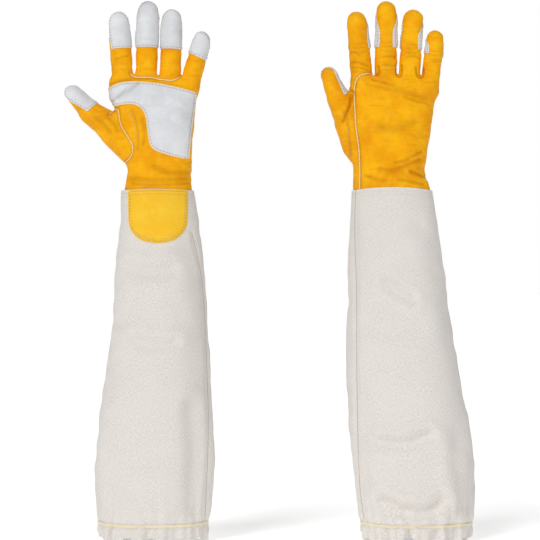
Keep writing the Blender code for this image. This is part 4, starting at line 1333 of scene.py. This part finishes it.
KINDS = {
    "stitch": stitched(0.0024, 0.0033, 0.00055, THREAD, "stitches"),
    # The dark stitches are painted shade of the stitch holes.
    "dark": stitched(0.0023, 0.0034, 0.00060, HOLE_SHADE_THREAD, "dark_stitches"),
    "canvas": stitched(0.0023, 0.0032, 0.00050, CANVAS_THREAD, "cuff_stitches"),
    "edge": corded(0.0015, 0.0014, RAW_EDGE, "raw_edges"),
    "felled": corded(0.0030, 0.0010, SHADED_FELLED_THREAD, "felled_seam"),
}


def thread_piece(side, zone, kind, lines):
    tree, sizes, material, word = KINDS[kind]
    points = np.vstack(lines)
    points[:, 1] *= MIRROR[side]
    ends = np.cumsum([len(line) for line in lines])
    links = [(i, i + 1) for i in range(len(points) - 1) if i + 1 not in ends]
    mesh = bpy.data.meshes.new("line")
    mesh.from_pydata(points.tolist(), links, [])
    path = bpy.data.objects.new("path", mesh)
    bpy.context.scene.collection.objects.link(path)
    modifier = path.modifiers.new("thread", "NODES")
    modifier.node_group = tree
    named = {item.name: item.identifier for item in tree.interface.items_tree if item.in_out == "INPUT"}
    for size, value in sizes.items():
        modifier[named[size]] = value
    modifier[named["Finish"]] = material
    graph = bpy.context.evaluated_depsgraph_get()
    sewn = bpy.data.meshes.new_from_object(path.evaluated_get(graph))
    made = bpy.data.objects.new(f"{side}_{zone}_{word}", sewn)
    bpy.data.objects.remove(path)
    bpy.context.scene.collection.objects.link(made)
    return attach(made, side, zone)


counts = {}
for (side, zone, kind), lines in THREADS.items():
    made = thread_piece(side, zone, kind, lines)
    counts[made.name] = len(made.data.polygons)
print("thread pieces:", len(counts), "faces:", sum(counts.values()))

# %% [markdown]
# ## Stage, light and camera
# The gloves stand on a plain white floor. A soft key light from the upper left gives the folds and
# the leather their shape, a weaker one fills from the right, and one stands behind. The floor glows
# a little, so that it stays white, and the camera looks straight at the pair.

# %% Floor, light and camera
bpy.ops.mesh.primitive_plane_add(size=40, location=(0, 0, -0.0006))
floor = bpy.context.object
floor.name = "floor"
floor.data.materials.append(finish("white_floor", (0.94, 0.94, 0.94), 0.9, Emission_Color=(1, 1, 1, 1),
                                   Emission_Strength=0.42)[0])

# The camera sees the room as pure white, but the room lights the gloves only weakly.
world = bpy.data.worlds.new("white_room")
world.use_nodes = True
nodes, links = world.node_tree.nodes, world.node_tree.links
seen = nodes.new("ShaderNodeBackground")
seen.inputs["Color"].default_value = (1, 1, 1, 1)
lighting = nodes["Background"]
lighting.inputs["Color"].default_value = (0.98, 0.99, 1, 1)
lighting.inputs["Strength"].default_value = 0.15
chosen = nodes.new("ShaderNodeMixShader")
links.new(nodes.new("ShaderNodeLightPath").outputs["Is Camera Ray"], chosen.inputs[0])
links.new(lighting.outputs[0], chosen.inputs[1])
links.new(seen.outputs[0], chosen.inputs[2])
links.new(chosen.outputs[0], nodes["World Output"].inputs[0])
bpy.context.scene.world = world


def soft_sun(name, azimuth, elevation, spread, strength):
    """Even light from one direction, softened as if it came through a large white sheet."""
    lamp = bpy.data.lights.new(name, "SUN")
    lamp.angle = math.radians(spread)
    lamp.energy = strength
    made = bpy.data.objects.new(name, lamp)
    a, e = math.radians(azimuth), math.radians(elevation)
    back = Vector((math.sin(a) * math.cos(e), -math.cos(a) * math.cos(e), math.sin(e)))
    made.rotation_euler = back.to_track_quat("Z", "Y").to_euler()
    bpy.context.scene.collection.objects.link(made)


soft_sun("key", -34, 46, 24, 1.60)
soft_sun("fill", 40, 15, 60, 0.55)
soft_sun("behind", 170, 35, 60, 0.9)

camera_data = bpy.data.cameras.new("camera")
camera_data.lens = 135
camera_data.sensor_width = 36
camera = bpy.data.objects.new("camera", camera_data)
camera.location = (0, -2.2275, 0.297)
camera.rotation_euler = (math.radians(90), 0, 0)
bpy.context.scene.collection.objects.link(camera)
bpy.context.scene.camera = camera
bpy.context.scene.view_settings.view_transform = "Standard"

# %% The end
import json
